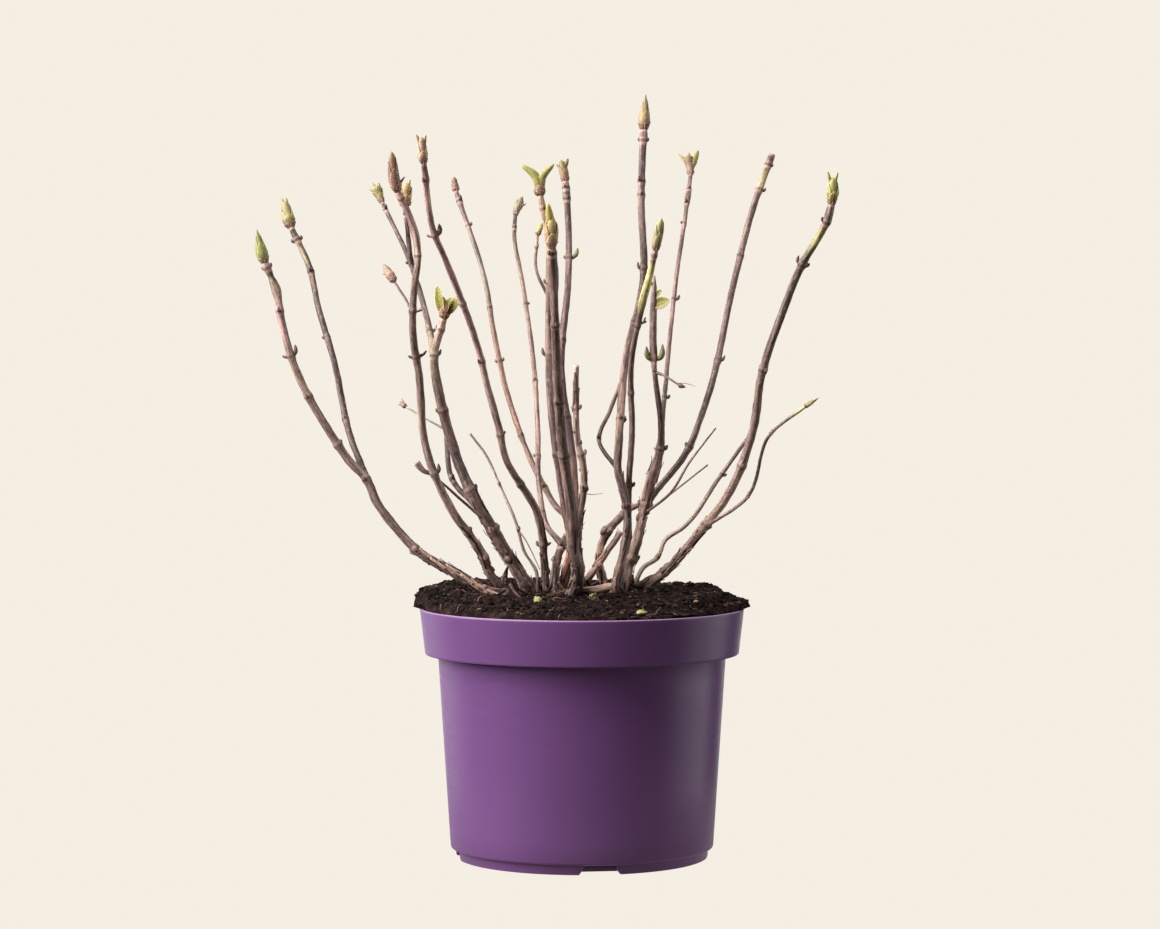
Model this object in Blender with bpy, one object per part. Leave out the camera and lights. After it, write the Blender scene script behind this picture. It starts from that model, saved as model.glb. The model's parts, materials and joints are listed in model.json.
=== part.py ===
"""A bare hydrangea with swelling buds, in its round nursery pot.

The pot stands on the plane z = 0 with its axis on Z, and -Y is the front. Tables are in millimetres.
"""

import math
import random
from dataclasses import dataclass

import bmesh
import bpy
from mathutils import Matrix, Vector

MM = 0.001
GAP = 0.3  # between neighbours that touch on the real plant

# Pot
POT_HEIGHT = 177.0
RIM_RADIUS = 114.8
COLLAR_HEIGHT = 32.2
COLLAR_FOOT_RADIUS = 111.3
BODY_TOP_RADIUS = 102.0
BODY_FOOT_RADIUS = 93.3
FOOT_RADIUS = 89.3
FOOT_HEIGHT = 7.0
WALL = 2.1
FLOOR = 3.0
POT_SIDES = 44
NOTCH_COUNT = 4
NOTCH_ANGLE = 8.0  # degrees that the front drain notch lies to the right of the front
NOTCH_WIDTHS = (29.0, 21.0)  # at the ground and at its top
NOTCH_REACH = (72.0, 104.0)  # from the pot's axis

# Soil
SOIL_TOP = 187.0  # the flat middle, where the stems stand
SOIL_FLAT_RADIUS = 76.0
SOIL_RING_RADIUS = 96.0
SOIL_SIDES = 48
SOIL_CLEARANCE = 0.45  # to the pot's wall, whose flats lie inside its true circle
# each the mean of a radius or height round the soil, and how much more it is on the right, at the
# back, and on both sides against front and back
SOIL_EDGE = (116.0, -0.3, 1.3, 1.6)
SOIL_EDGE_HEIGHT = (183.9, -3.8, 1.6, 2.4)
SOIL_HEAP_HEIGHT = (189.5, -2.0, 3.0, 3.0)
EDGE_BULGE = 0.4
EDGE_ROUNDING = 3.0
EDGE_LUMPS = 0.5
HEAP_LUMPS = 0.9

# Limbs
RING_STEP = 24.0
NODE_SWELL = 1.28
NODE_HALF = 2.4  # half the length of a swollen node
FOOT_FLARE = 0.35
FLARE_LENGTH = 7.0
BURIED = 12.0  # of a rooted limb, before its foot is cut flat
FORK_ROOM = 9.0  # from a fork to the nearest side buds
END_ROOM = 6.0  # from a limb's tip to them
TIP_SINK = 1.5  # of a fused bud into its twig's tip
DEPTH_POWERS = (0.85, 1.3)  # under 1 a limb leans back or forth more at its foot, over 1 at its tip
WAVE_SHARE = 0.016  # of a limb's length that it waves back and forth
CURVE_STEP = 3.0
THIN_WIDTH = 3.4  # up to which a limb has five sides, and above it six
SIDE_BUD_LENGTHS = (4.0, 6.5)
SIDE_BUD_RISE = 1.1  # along the limb for each millimetre out from it
SIDE_BUD_RADII = ((0, 1.2), (1, 0.15))

# Shoots, each number a share of the shoot's length or width
CORE_LENGTHS = {"closed": 1.0, "split": 0.66, "leaves": 0.5}
CORE_PROFILE = ((0.34, 1.0), (0.55, 0.8), (0.8, 0.38))
SCALE_SPREAD = 7  # degrees between a closed bud's core and its outer scales
SCALE_REACH = (0.62, 0.8)
LEAF_WIDTH = 0.4


@dataclass
class Limb:
    """A tapering limb through points (x, z), leaning in y from its foot or fork to its tip."""

    parent: str
    widths: tuple
    depths: tuple
    path: tuple
    nodes: tuple = ()  # distances along it of its swollen nodes
    sideways: tuple = ()  # which of its nodes have side buds to left and right, not front and back


@dataclass
class Shoot:
    """What grows on a limb's tip: a closed bud, a split bud or an opening pair of leaves."""

    kind: str
    length: float
    width: float
    leans: tuple  # degrees to the right of upright: of the bud, or of each of its two points or leaves
    colour: str


LIMBS = {
    "stem_far_left": Limb("", (6.6, 4.8), (-30, -55),
        ((-52, 187), (-70, 192), (-84, 201), (-115, 220), (-132, 238), (-143, 253), (-150, 269),
         (-162, 282), (-177, 305), (-194, 336), (-208, 381), (-211, 400), (-219, 420)),
        (74, 134, 165, 205, 236, 273, 301), (2, 4)),
    "stem_left": Limb("", (6.2, 4.3), (-12, -95),
        ((-53, 187), (-66, 205), (-69, 214), (-77, 227), (-89, 245), (-108, 290), (-113, 345),
         (-116, 367), (-114, 408), (-112, 420), (-117, 450), (-125, 467)),
        (33, 56, 105, 190, 224, 264, 305), (1, 3, 5)),
    "stem_left_thick": Limb("", (9.9, 5.0), (12, -22),
        ((-36, 187), (-59, 224), (-86, 276), (-101, 332), (-104, 353), (-97, 382)),
        (54, 86, 148, 188, 207), (0, 1, 3)),
    "stem_left_thin": Limb("", (2.5, 1.7), (-22, -48),
        ((-31, 187), (-32, 204), (-41, 220), (-45, 236), (-58, 267), (-67, 287), (-78, 302)),
        (51, 87)),
    "stem_front_left": Limb("", (5.4, 4.0), (4, -150),
        ((-25, 187), (-32, 246), (-54, 287), (-57, 303), (-66, 338), (-71, 360), (-81, 391),
         (-91, 418), (-99, 438), (-105, 484)),
        (36, 89, 133, 189, 236, 294, 336), (0, 1, 3, 5)),
    "stem_back_left": Limb("", (4.6, 3.3), (30, 140),
        ((-6, 187), (-11, 239), (-18, 246), (-27, 260), (-51, 316), (-65, 374), (-70, 404), (-94, 478)),
        (83, 127, 186, 228, 298, 320), (2, 4)),
    "stem_middle": Limb("", (6.1, 4.5), (-20, -36),
        ((-16, 187), (-8, 222), (-13, 255), (-22, 325), (-23, 408), (-23, 437), (-29, 467)),
        (102, 172, 223, 275), (1,)),
    "stem_front": Limb("", (9.2, 4.5), (-44, -160),
        ((-6, 187), (-3, 211), (-6, 222), (-6, 236), (-13, 292), (-20, 427)),
        (115, 157, 215, 266)),
    "stem_back": Limb("", (6.1, 4.5), (6, 66),
        ((-9, 187), (-5, 232), (-6, 274), (-15, 351), (-10, 410), (-10, 455), (-12, 482)),
        (52, 128, 184, 246, 290, 298), (3,)),
    "stem_cut": Limb("", (5.7, 3.7), (-5, -40),
        ((1, 187), (-3, 222), (1, 276), (-3, 297), (-4, 349)),
        (79, 103, 143), (1, 2)),
    "stem_tall": Limb("", (5.9, 4.8), (-30, 20),
        ((22, 187), (32, 246), (25, 279), (26, 297), (31, 353), (43, 406), (42, 470), (44, 516)),
        (64, 127, 199, 237, 290, 300, 330), (0, 2, 3)),
    "stem_right_thick": Limb("", (8.1, 3.5), (6, -14),
        ((30, 187), (33, 205), (38, 222), (47, 261), (55, 289), (51, 347)),
        (25, 65, 107), (0, 2)),
    "stem_far_right": Limb("", (6.6, 4.9), (14, -70),
        ((37, 187), (64, 207), (78, 224), (105, 261), (120, 304), (125, 342), (141, 391),
         (151, 417), (169, 451), (171, 460)),
        (27, 73, 123, 198, 277, 312), (0, 2, 4)),
    "stem_right_thin": Limb("", (3.5, 2.8), (34, 40),
        ((36, 187), (45, 204), (54, 210), (60, 223), (72, 231), (99, 268), (120, 297)),
        (31, 108), (1,)),
    "stub_back": Limb("", (6.1, 5.0), (46, 34), ((17, 187), (12, 208), (18, 228), (37, 248)), (44,)),
    "stub_tan": Limb("", (5.0, 4.0), (20, 14), ((-3, 187), (10, 204), (28, 230)), (24,)),
    "stub_front": Limb("", (6.4, 5.0), (-34, -4), ((-19, 187), (-18, 211), (-11, 228)), (41,)),
    "bough_far_left": Limb("stem_far_left", (4.6, 4.2), (0, 45),
        ((-148, 265), (-163, 299), (-176, 353), (-189, 393), (-195, 418), (-209, 447)),
        (57, 120, 174, 200), (1, 3)),
    "bough_left": Limb("stem_left_thick", (4.6, 2.8), (0, 85),
        ((-104, 355), (-109, 378), (-124, 423), (-146, 467)), (26, 96, 150), (0,)),
    "bough_left_upper": Limb("bough_left", (3.5, 3.3), (0, 40), ((-124, 421), (-127, 462)), (38,)),
    "bough_left_dark": Limb("stem_left_thick", (4.2, 3.5), (0, 25),
        ((-72, 246), (-92, 267), (-97, 298)), (31,)),
    "bough_back": Limb("stub_front", (4.0, 3.0), (0, 175),
        ((-15, 222), (-24, 233), (-30, 257), (-32, 302), (-35, 345), (-41, 389), (-44, 408),
         (-51, 448), (-50, 465)),
        (33, 82, 152, 220, 293), (1,)),
    "bough_front_right": Limb("stem_right_thick", (4.5, 3.8), (0, -85),
        ((35, 207), (33, 265), (35, 304), (34, 346), (50, 428)),
        (59, 128, 182, 236), (0, 3)),
    "bough_back_right": Limb("stem_right_thick", (3.3, 3.1), (0, 165),
        ((56, 302), (69, 411), (76, 452), (82, 491)), (32, 125, 206, 236), (0, 1)),
    "bough_right": Limb("stem_right_thick", (4.6, 4.8), (0, 105),
        ((45, 248), (59, 267), (71, 281), (89, 322), (111, 410), (123, 456), (140, 503)),
        (58, 130, 212, 267, 277), (0, 1, 3)),
    "bough_wavy": Limb("stem_tall", (3.1, 2.8), (0, 22), ((26, 276), (12, 296), (20, 317), (31, 344)),
        (29,), (0,)),
    "twig_left_bud": Limb("bough_left", (2.0, 1.7), (0, 30),
        ((-113, 390), (-120, 387), (-126, 396), (-134, 408))),
    "twig_left_low": Limb("stem_left_thick", (2.3, 1.7), (0, -20), ((-66, 238), (-99, 267))),
    "twig_left_fine": Limb("stem_left_thick", (1.6, 1.4), (0, 22), ((-96, 302), (-126, 319))),
    "twig_middle": Limb("stem_middle", (2.3, 2.1), (0, -28), ((-22, 395), (-32, 416), (-31, 440)), (37,)),
    "twig_right_small": Limb("stem_right_thick", (1.8, 1.4), (0, -34),
        ((51, 343), (57, 342), (68, 335))),
    "twig_right": Limb("stem_right_thick", (2.1, 1.5), (0, -62),
        ((44, 242), (62, 259), (74, 280), (92, 306))),
    "twig_right_hair": Limb("twig_right", (1.4, 1.2), (0, 30), ((58, 256), (90, 277))),
    "twig_far_right": Limb("stem_far_right", (2.7, 2.1), (0, -110),
        ((88, 232), (116, 257), (129, 302), (151, 322)), (47, 115)),
}

SHOOTS = {
    "stem_far_left": Shoot("closed", 23, 8.5, (-14,), "green"),
    "bough_far_left": Shoot("split", 25, 9.2, (-17, -8), "green"),
    "bough_left": Shoot("split", 16, 9.5, (-31, -14), "olive"),
    "stem_left": Shoot("closed", 28, 8.5, (-8,), "brown"),
    "bough_left_upper": Shoot("closed", 19, 7.0, (4,), "olive"),
    "stem_left_thick": Shoot("leaves", 22, 7.5, (-9, 33), "green"),
    "stem_front_left": Shoot("split", 21, 6.5, (-12, 4), "pink"),
    "stem_back_left": Shoot("closed", 12, 5.0, (-10,), "brown"),
    "bough_back": Shoot("split", 11, 6.0, (4, 35), "olive"),
    "stem_middle": Shoot("leaves", 22, 8.5, (-36, 28), "green"),
    "stem_front": Shoot("closed", 31, 9.0, (-1,), "olive"),
    "stem_back": Shoot("split", 16, 7.0, (-28, 5), "pink"),
    "stem_tall": Shoot("closed", 27, 7.8, (3,), "olive"),
    "bough_front_right": Shoot("closed", 24, 7.0, (10,), "green"),
    "bough_back_right": Shoot("leaves", 21, 7.5, (-27, 17), "green"),
    "stem_far_right": Shoot("split", 24, 8.5, (-3, 9), "green"),
    "twig_left_bud": Shoot("split", 17, 5.0, (-50, -22), "pink"),
    "twig_left_fine": Shoot("split", 8, 3.2, (-73, -29), "pink"),
    "twig_middle": Shoot("closed", 13, 3.5, (25,), "green"),
    "twig_right_small": Shoot("closed", 6, 2.6, (110,), "brown"),
    "twig_far_right": Shoot("closed", 9, 3.0, (55,), "green"),
}
SPURS = {
    # a dead side stub: how far along its limb, degrees to the right of upright, length and width
    "stem_left": (105, -72, 13.0, 4.4),
}
SCRAPS = (
    # each a path over the soil, and (share of its length, radius) along it
    ("shard", ((-56, 14, 0), (-55, 14, 12), (-52, 15, 20)), ((0, 2.2), (0.5, 1.6), (1, 0.3)), "bark_dark"),
    ("old_piece", ((-1, -52, 1.9), (10, -54, 2.2), (21, -57, 3.6)), ((0, 1.5), (0.5, 1.8), (1, 1.5)),
        "bark_pink"),
)
TOP_TWIG = "top_right_thick"  # the bare end that stands on the thick right stem, with its own buds
TOP_PATH = ((51, 347.3), (50, 365), (51, 412))

COLOURS = {
    "pot": (0.12, 0.045, 0.20),
    "soil": (0.018, 0.012, 0.010),
    "bark_dark": (0.065, 0.040, 0.038),
    "bark_pink": (0.230, 0.130, 0.100),
    "green": (0.30, 0.36, 0.07),
    "olive": (0.30, 0.25, 0.09),
    "brown": (0.17, 0.08, 0.06),
    "pink": (0.45, 0.22, 0.18),
}
PINK_BARK = ("stem_back_left", "bough_back", "bough_back_right", "bough_far_left", "stub_tan")


def finish(obj, colour, roughness):
    """Gives the object its own material."""
    material = bpy.data.materials.new(obj.name)
    material.use_nodes = True
    shader = material.node_tree.nodes["Principled BSDF"]
    shader.inputs["Base Color"].default_value = (*COLOURS[colour], 1.0)
    shader.inputs["Roughness"].default_value = roughness
    shader.inputs["Metallic"].default_value = 0.0
    obj.data.materials.clear()
    obj.data.materials.append(material)


def new_object(name, bm, smooth=True):
    """Closes off a bmesh, which is in millimetres, as a named object in metres."""
    bmesh.ops.scale(bm, vec=(MM, MM, MM), verts=bm.verts)
    bmesh.ops.recalc_face_normals(bm, faces=bm.faces)
    mesh = bpy.data.meshes.new(name)
    bm.to_mesh(mesh)
    bm.free()
    if smooth:
        mesh.shade_smooth()
        mesh.set_sharp_from_angle(angle=math.radians(45))
    obj = bpy.data.objects.new(name, mesh)
    bpy.context.collection.objects.link(obj)
    return obj


def as_cutter(obj):
    obj.hide_render = True
    obj.display_type = "WIRE"
    return obj


def add_boolean(obj, name, operation, other):
    modifier = obj.modifiers.new(name, "BOOLEAN")
    modifier.operation = operation
    modifier.solver = "EXACT"
    modifier.object = other


def join(name, pieces):
    """One Boolean union of the pieces, applied, with the pieces then removed."""
    base = pieces[0]
    others = bpy.data.collections.new(name + "_pieces")
    bpy.context.scene.collection.children.link(others)
    for piece in pieces[1:]:
        bpy.context.collection.objects.unlink(piece)
        others.objects.link(piece)
    union = base.modifiers.new("union", "BOOLEAN")
    union.operation = "UNION"
    union.solver = "EXACT"
    union.operand_type = "COLLECTION"
    union.collection = others
    graph = bpy.context.evaluated_depsgraph_get()
    joined = bpy.data.meshes.new_from_object(base.evaluated_get(graph))
    base.modifiers.clear()
    base.data = joined
    for piece in pieces[1:]:
        bpy.data.objects.remove(piece)
    bpy.data.collections.remove(others)
    base.name = name
    return base


# Curves and tubes


def smooth_curve(points, step):
    """Points about a step apart on a smooth curve through the given ones."""
    spans = [b - a for a, b in zip(points, points[1:])]
    slopes = [span.normalized() for span in spans]
    tangents = [slopes[0]]
    for before, after, i in zip(spans, spans[1:], range(1, len(spans))):
        blend = before.length / (before.length + after.length)
        tangents.append(slopes[i - 1].lerp(slopes[i], blend))
    tangents.append(slopes[-1])
    curve = []
    for i, span in enumerate(spans):
        count = max(2, round(span.length / step))
        for j in range(count):
            u = j / count
            start_weight = (1 + 2 * u) * (1 - u) ** 2
            out_weight = u * (1 - u) ** 2 * span.length
            in_weight = u * u * (u - 1) * span.length
            curve.append(
                points[i] * start_weight
                + tangents[i] * out_weight
                + points[i + 1] * (1 - start_weight)
                + tangents[i + 1] * in_weight
            )
    curve.append(points[-1].copy())
    return curve


def distances(curve):
    """How far along it each point of a curve lies."""
    found = [0.0]
    for a, b in zip(curve, curve[1:]):
        found.append(found[-1] + (b - a).length)
    return found


def point_at(curve, along, distance):
    """The place and direction at a distance along a curve."""
    for i in range(1, len(curve)):
        if along[i] >= distance or i == len(curve) - 1:
            share = (distance - along[i - 1]) / (along[i] - along[i - 1])
            return curve[i - 1].lerp(curve[i], share), (curve[i] - curve[i - 1]).normalized()


def across(direction):
    """A direction square to the given one, as near sideways as can be."""
    return (Vector((1, 0, 0)) - direction * direction.x).normalized()


def add_ring(bm, centre, direction, side, radius, count):
    """A ring of vertices round a centre, square to the direction."""
    other = direction.cross(side)
    turns = [2 * math.pi * i / count for i in range(count)]
    return [
        bm.verts.new(centre + (side * math.cos(t) + other * math.sin(t)) * radius) for t in turns
    ]


def skin(bm, rings):
    """Faces between the rings, and a cap on each end."""
    for low, high in zip(rings, rings[1:]):
        for i in range(len(low)):
            j = (i + 1) % len(low)
            bm.faces.new((low[i], low[j], high[j], high[i]))
    bm.faces.new(rings[0][::-1])
    bm.faces.new(rings[-1])


def tube(name, curve, stations, radius_at, count):
    """A closed tube along a curve, with a ring at each station and its radius there."""
    bm = bmesh.new()
    along = distances(curve)
    side = across((curve[1] - curve[0]).normalized())
    rings = []
    for station in stations:
        centre, direction = point_at(curve, along, station)
        side = (side - direction * side.dot(direction)).normalized()
        rings.append(add_ring(bm, centre, direction, side, radius_at(station), count))
    skin(bm, rings)
    return new_object(name, bm)


# Limbs


def nearest(curve, x, z):
    """The point of a curve that lies nearest to (x, z) as seen from the front."""
    return min(curve, key=lambda p: (p.x - x) ** 2 + (p.z - z) ** 2)


def limb_curve(name, curves):
    """The limb's centre line. A rooted limb's starts under the soil, and a bough's on its parent's."""
    limb = LIMBS[name]
    path = [Vector((x, 0, z)) for x, z in limb.path]
    first_depth, last_depth = limb.depths
    if limb.parent:
        fork = nearest(curves[limb.parent], *limb.path[0])
        path[0] = Vector((fork.x, 0, fork.z))
        first_depth = fork.y
    draw = random.Random(name + " depth")
    power = draw.uniform(*DEPTH_POWERS)
    start, turns = draw.uniform(0, 2 * math.pi), draw.uniform(1.2, 2.2)
    curve = smooth_curve(path, CURVE_STEP)
    along = distances(curve)
    for point, distance in zip(curve, along):
        share = distance / along[-1]
        wave = math.sin(start + 2 * math.pi * turns * share) * math.sin(math.pi * share)
        lean = (last_depth - first_depth) * share**power
        point.y = first_depth + lean + wave * WAVE_SHARE * along[-1]
    if limb.parent:
        return curve
    down = ((curve[0] - curve[1]).normalized() + Vector((0, 0, -1))).normalized()
    return [curve[0] + down * BURIED * share for share in (1, 0.75, 0.5, 0.25)] + curve


def limb_radius(limb, length, buried):
    """The limb's radius by distance: a taper, a flared foot and a swelling at each node."""
    low, high = (width / 2 for width in limb.widths)
    fork_radius = LIMBS[limb.parent].widths[0] / 2 if limb.parent else 0.0

    def radius(distance):
        grown = max(0.0, distance - buried)
        value = low + (high - low) * grown / (length - buried)
        if limb.parent:
            value *= min(1.0, 0.75 + 0.25 * distance / fork_radius)
        else:
            value *= 1 + FOOT_FLARE * math.exp(-grown / FLARE_LENGTH)
        for node in limb.nodes:
            off = (grown - node) / NODE_HALF
            value *= 1 + (NODE_SWELL - 1) * math.exp(-off * off)
        return value

    return radius


def limb_stations(limb, length, buried):
    """Where the limb's rings lie: evenly, with three at each node."""
    spots = {0.0, length}
    count = math.ceil(length / RING_STEP)
    even = [length * i / count for i in range(1, count)]
    nodes = [buried + node for node in limb.nodes if buried + node < length - NODE_HALF]
    for node in nodes:
        spots.update((node - NODE_HALF, node, node + NODE_HALF))
    spots.update(spot for spot in even if all(abs(spot - node) > 3 * NODE_HALF for node in nodes))
    return sorted(spots)


def limb_tube(name, curve, grow=0.0, title=None):
    """The limb's closed tube, grown all round where it serves to cut what meets it."""
    limb = LIMBS[name]
    length = distances(curve)[-1]
    buried = 0.0 if limb.parent else BURIED
    count = 6 if max(limb.widths) > THIN_WIDTH else 5
    radius = limb_radius(limb, length, buried)
    extra = grow / math.cos(math.pi / count)
    return tube(
        title or name,
        curve,
        limb_stations(limb, length, buried),
        lambda distance: radius(distance) + extra,
        count,
    )


def side_buds(name, curve, radius_at_node):
    """Small pointed buds in pairs at the nodes. A node beside a fork or at the tip has none."""
    limb = LIMBS[name]
    draw = random.Random(name)
    along = distances(curve)
    start = 0.0 if limb.parent else BURIED
    forks = [other.path[0] for other in LIMBS.values() if other.parent == name]
    pieces = []
    for i, node in enumerate(limb.nodes):
        centre, direction = point_at(curve, along, start + node)
        near_fork = any(math.hypot(centre.x - x, centre.z - z) < FORK_ROOM for x, z in forks)
        if near_fork or start + node > along[-1] - END_ROOM:
            continue
        side = across(direction)
        turn = 0 if i in limb.sideways else math.pi / 2
        for way in (0, math.pi):
            length = draw.uniform(*SIDE_BUD_LENGTHS)
            out = side * math.cos(turn + way) + direction.cross(side) * math.sin(turn + way)
            rise = (out + direction * SIDE_BUD_RISE).normalized()
            root = centre + out * radius_at_node * 0.3
            bark = centre + out * radius_at_node * 0.9
            pieces.append(spindle(name + "_bud", [root, bark, bark + rise * length], SIDE_BUD_RADII, 3))
    return pieces


def spur(name, curve):
    """The short dead stub on a limb's side, broken off blunt."""
    distance, lean, length, width = SPURS[name]
    centre, direction = point_at(curve, distances(curve), distance + BURIED)
    out = leaning(lean, Vector((0, 0, 0)))
    line = [centre, centre + out * length * 0.6, centre + (out + Vector((0, 0, 0.3))) * length]
    profile = ((0, width * 0.3), (0.6, width * 0.42), (1, width * 0.5))
    return spindle(name + "_spur", line, profile, 5)


# Buds and leaves


def spindle(name, line, profile, count):
    """A closed body along a bent line, whose radius follows (share of its length, radius)."""
    curve = smooth_curve(line, 1.0)
    length = distances(curve)[-1]
    radii = dict((share * length, radius) for share, radius in profile)
    return tube(name, curve, sorted(radii), radii.get, count)


def blade(name, root, tip, width, outward, bow, fold):
    """A thin closed leaf from root to tip, bowed outward in the middle and folded along its rib."""
    bm = bmesh.new()
    axis = tip - root
    side = axis.cross(outward).normalized()
    outward = side.cross(axis).normalized()
    thickness = max(0.5, axis.length * 0.03)
    rings = []
    for share, spread in ((0.0, 0.3), (0.25, 0.8), (0.5, 1.0), (0.78, 0.62)):
        middle = root + axis * share + outward * bow * 4 * share * (1 - share)
        half = width / 2 * spread
        lift = outward * fold * half
        corners = (
            middle - side * half - lift,
            middle - outward * thickness / 2,
            middle + side * half - lift,
            middle + outward * thickness / 2,
        )
        rings.append([bm.verts.new(corner) for corner in corners])
    end = bm.verts.new(tip)
    for low, high in zip(rings, rings[1:]):
        for i in range(4):
            j = (i + 1) % 4
            bm.faces.new((low[i], low[j], high[j], high[i]))
    for i in range(4):
        bm.faces.new((rings[-1][i], rings[-1][(i + 1) % 4], end))
    bm.faces.new(rings[0][::-1])
    return new_object(name, bm)


def leaning(degrees, direction):
    """A direction that leans so far to the right of upright, and goes on with its limb's in depth."""
    upright = Vector((math.sin(math.radians(degrees)), 0, math.cos(math.radians(degrees))))
    return (upright + Vector((0, direction.y * 0.7, 0))).normalized()


def shoot_pieces(name, shoot, base, direction, stalk_width):
    """The closed pieces of a shoot: a core, and its scales or leaves, rooted well inside it."""
    draw = random.Random(name)
    axis = leaning(sum(shoot.leans) / len(shoot.leans), direction)
    side = across(axis)
    other = axis.cross(side)
    size, half, stalk = shoot.length, shoot.width / 2, stalk_width / 2
    bend = base + direction * 0.1 * size + axis * 0.08 * size
    line = [base, bend, base + axis * size * CORE_LENGTHS[shoot.kind]]
    belly = [(share, half * swell) for share, swell in CORE_PROFILE]
    profile = ((0, stalk * 0.95), (0.12, stalk), *belly, (1, 0.35))
    pieces = [spindle(name, line, profile, 6)]

    def add(part, start, way, lean, reach, width, bow, fold):
        out = (way + other * draw.uniform(-0.35, 0.35)).normalized()
        root = base + axis * size * start + out * half * 0.3
        tip = base + leaning(lean, direction) * size * reach + other * draw.uniform(-0.1, 0.1) * half
        pieces.append(blade(name + part, root, tip, width, out, bow, fold))

    if shoot.kind == "closed":
        for way in (-1, 1):
            lean = shoot.leans[0] + way * SCALE_SPREAD
            reach = draw.uniform(*SCALE_REACH)
            add("_scale", 0.16, side * way, lean, reach, shoot.width * 0.8, half * 0.55, 0.25)
        return pieces
    for lean, way, reach in zip(shoot.leans, (-1, 1), (1.0, 0.97)):
        if shoot.kind == "split":
            add("_scale", 0.2, side * way, lean, reach, shoot.width * 0.7, half * 0.35, 0.3)
        else:
            add("_leaf", 0.2, side * way, lean, reach, size * LEAF_WIDTH, half * 0.3, 0.35)
            add("_scale", 0.15, other * way, lean, 0.62, shoot.width * 0.7, half * 0.5, 0.3)
    return pieces


def make_top_twig():
    """The end of the thick right stem: a thin twig with two green buds and a small leaf."""
    points = [Vector((x, LIMBS["stem_right_thick"].depths[1], z)) for x, z in TOP_PATH]
    profile = ((0, 1.75), (0.1, 3.2), (0.2, 2.6), (0.85, 2.2), (1, 0.5))
    pieces = [spindle(TOP_TWIG, points, profile, 6)]
    joint = points[0] + Vector((0, 0, 5))
    for way, reach in ((-1, 10.0), (1, 11.5)):
        out = Vector((way, -0.2, 0))
        line = [joint, joint + out * 4.0 + Vector((0, 0, 2)), joint + out * 6.0 + Vector((0, 0, reach))]
        pieces.append(spindle(TOP_TWIG + "_bud", line, ((0, 1.0), (0.35, 1.9), (1, 0.3)), 6))
    leaf_root = points[1] + Vector((0.5, 0, 20))
    leaf_tip = leaf_root + Vector((11, -4, 3))
    pieces.append(blade(TOP_TWIG + "_leaf", leaf_root, leaf_tip, 6.0, Vector((0, -1, 0.6)), 1.0, 0.3))
    obj = join(TOP_TWIG, pieces)
    finish(obj, "green", 0.6)


def make_shoots(curves):
    """A shoot on each limb tip that has one. On a thin twig it is fused, and so made with the twig."""
    for limb_name, shoot in SHOOTS.items():
        if limb_name.startswith("twig"):
            continue
        end = curves[limb_name][-1]
        direction = (end - curves[limb_name][-2]).normalized()
        name = limb_name.replace("stem_", "shoot_").replace("bough_", "shoot_bough_")
        base = end + direction * GAP
        pieces = shoot_pieces(name, shoot, base, direction, LIMBS[limb_name].widths[1])
        obj = join(name, pieces)
        finish(obj, shoot.colour, 0.55)


def make_limbs():
    """Every stem, bough and twig. Returns their centre lines."""
    ground = make_ground_cutter()
    curves = {}
    for name, limb in LIMBS.items():
        curves[name] = limb_curve(name, curves)
        pieces = [limb_tube(name, curves[name])]
        pieces += side_buds(name, curves[name], sum(limb.widths) / 4)
        if name in SPURS:
            pieces.append(spur(name, curves[name]))
        if name in SHOOTS and name.startswith("twig"):
            end = curves[name][-1]
            direction = (end - curves[name][-2]).normalized()
            base = end - direction * TIP_SINK
            pieces += shoot_pieces(name + "_tip", SHOOTS[name], base, direction, limb.widths[1])
        obj = join(name, pieces) if len(pieces) > 1 else pieces[0]
        if limb.parent:
            cutter = limb_tube(limb.parent, curves[limb.parent], GAP, name + "_seat")
            add_boolean(obj, "fork", "DIFFERENCE", as_cutter(cutter))
        else:
            add_boolean(obj, "foot", "DIFFERENCE", ground)
        finish(obj, "bark_pink" if name in PINK_BARK else "bark_dark", 0.6)
    return curves


def make_ground_cutter():
    """A box up to just above the soil's flat middle, which cuts every stem's foot."""
    bm = bmesh.new()
    width, height = 240, 40
    place = Matrix.Translation((0, 0, SOIL_TOP + GAP - height / 2))
    bmesh.ops.create_cube(bm, size=1.0, matrix=place @ Matrix.Diagonal((width, width, height, 1)))
    return as_cutter(new_object("ground_cutter", bm, smooth=False))


# Pot and soil


def level_ring(bm, radius, height, sides):
    """A ring round the pot's axis."""
    return add_ring(bm, Vector((0, 0, height)), Vector((0, 0, 1)), Vector((1, 0, 0)), radius, sides)


def spun(name, profile, sides):
    """A closed body turned from a profile (radius, height) that starts and ends on the axis."""
    bm = bmesh.new()
    rings = []
    for radius, height in profile:
        if radius == 0:
            rings.append([bm.verts.new((0, 0, height))])
            continue
        rings.append(level_ring(bm, radius, height, sides))
    for low, high in zip(rings, rings[1:]):
        for i in range(sides):
            j = (i + 1) % sides
            near = [low[i % len(low)], low[j % len(low)]]
            far = [high[j % len(high)], high[i % len(high)]]
            bm.faces.new(list(dict.fromkeys(near + far)))
    return new_object(name, bm)


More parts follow.
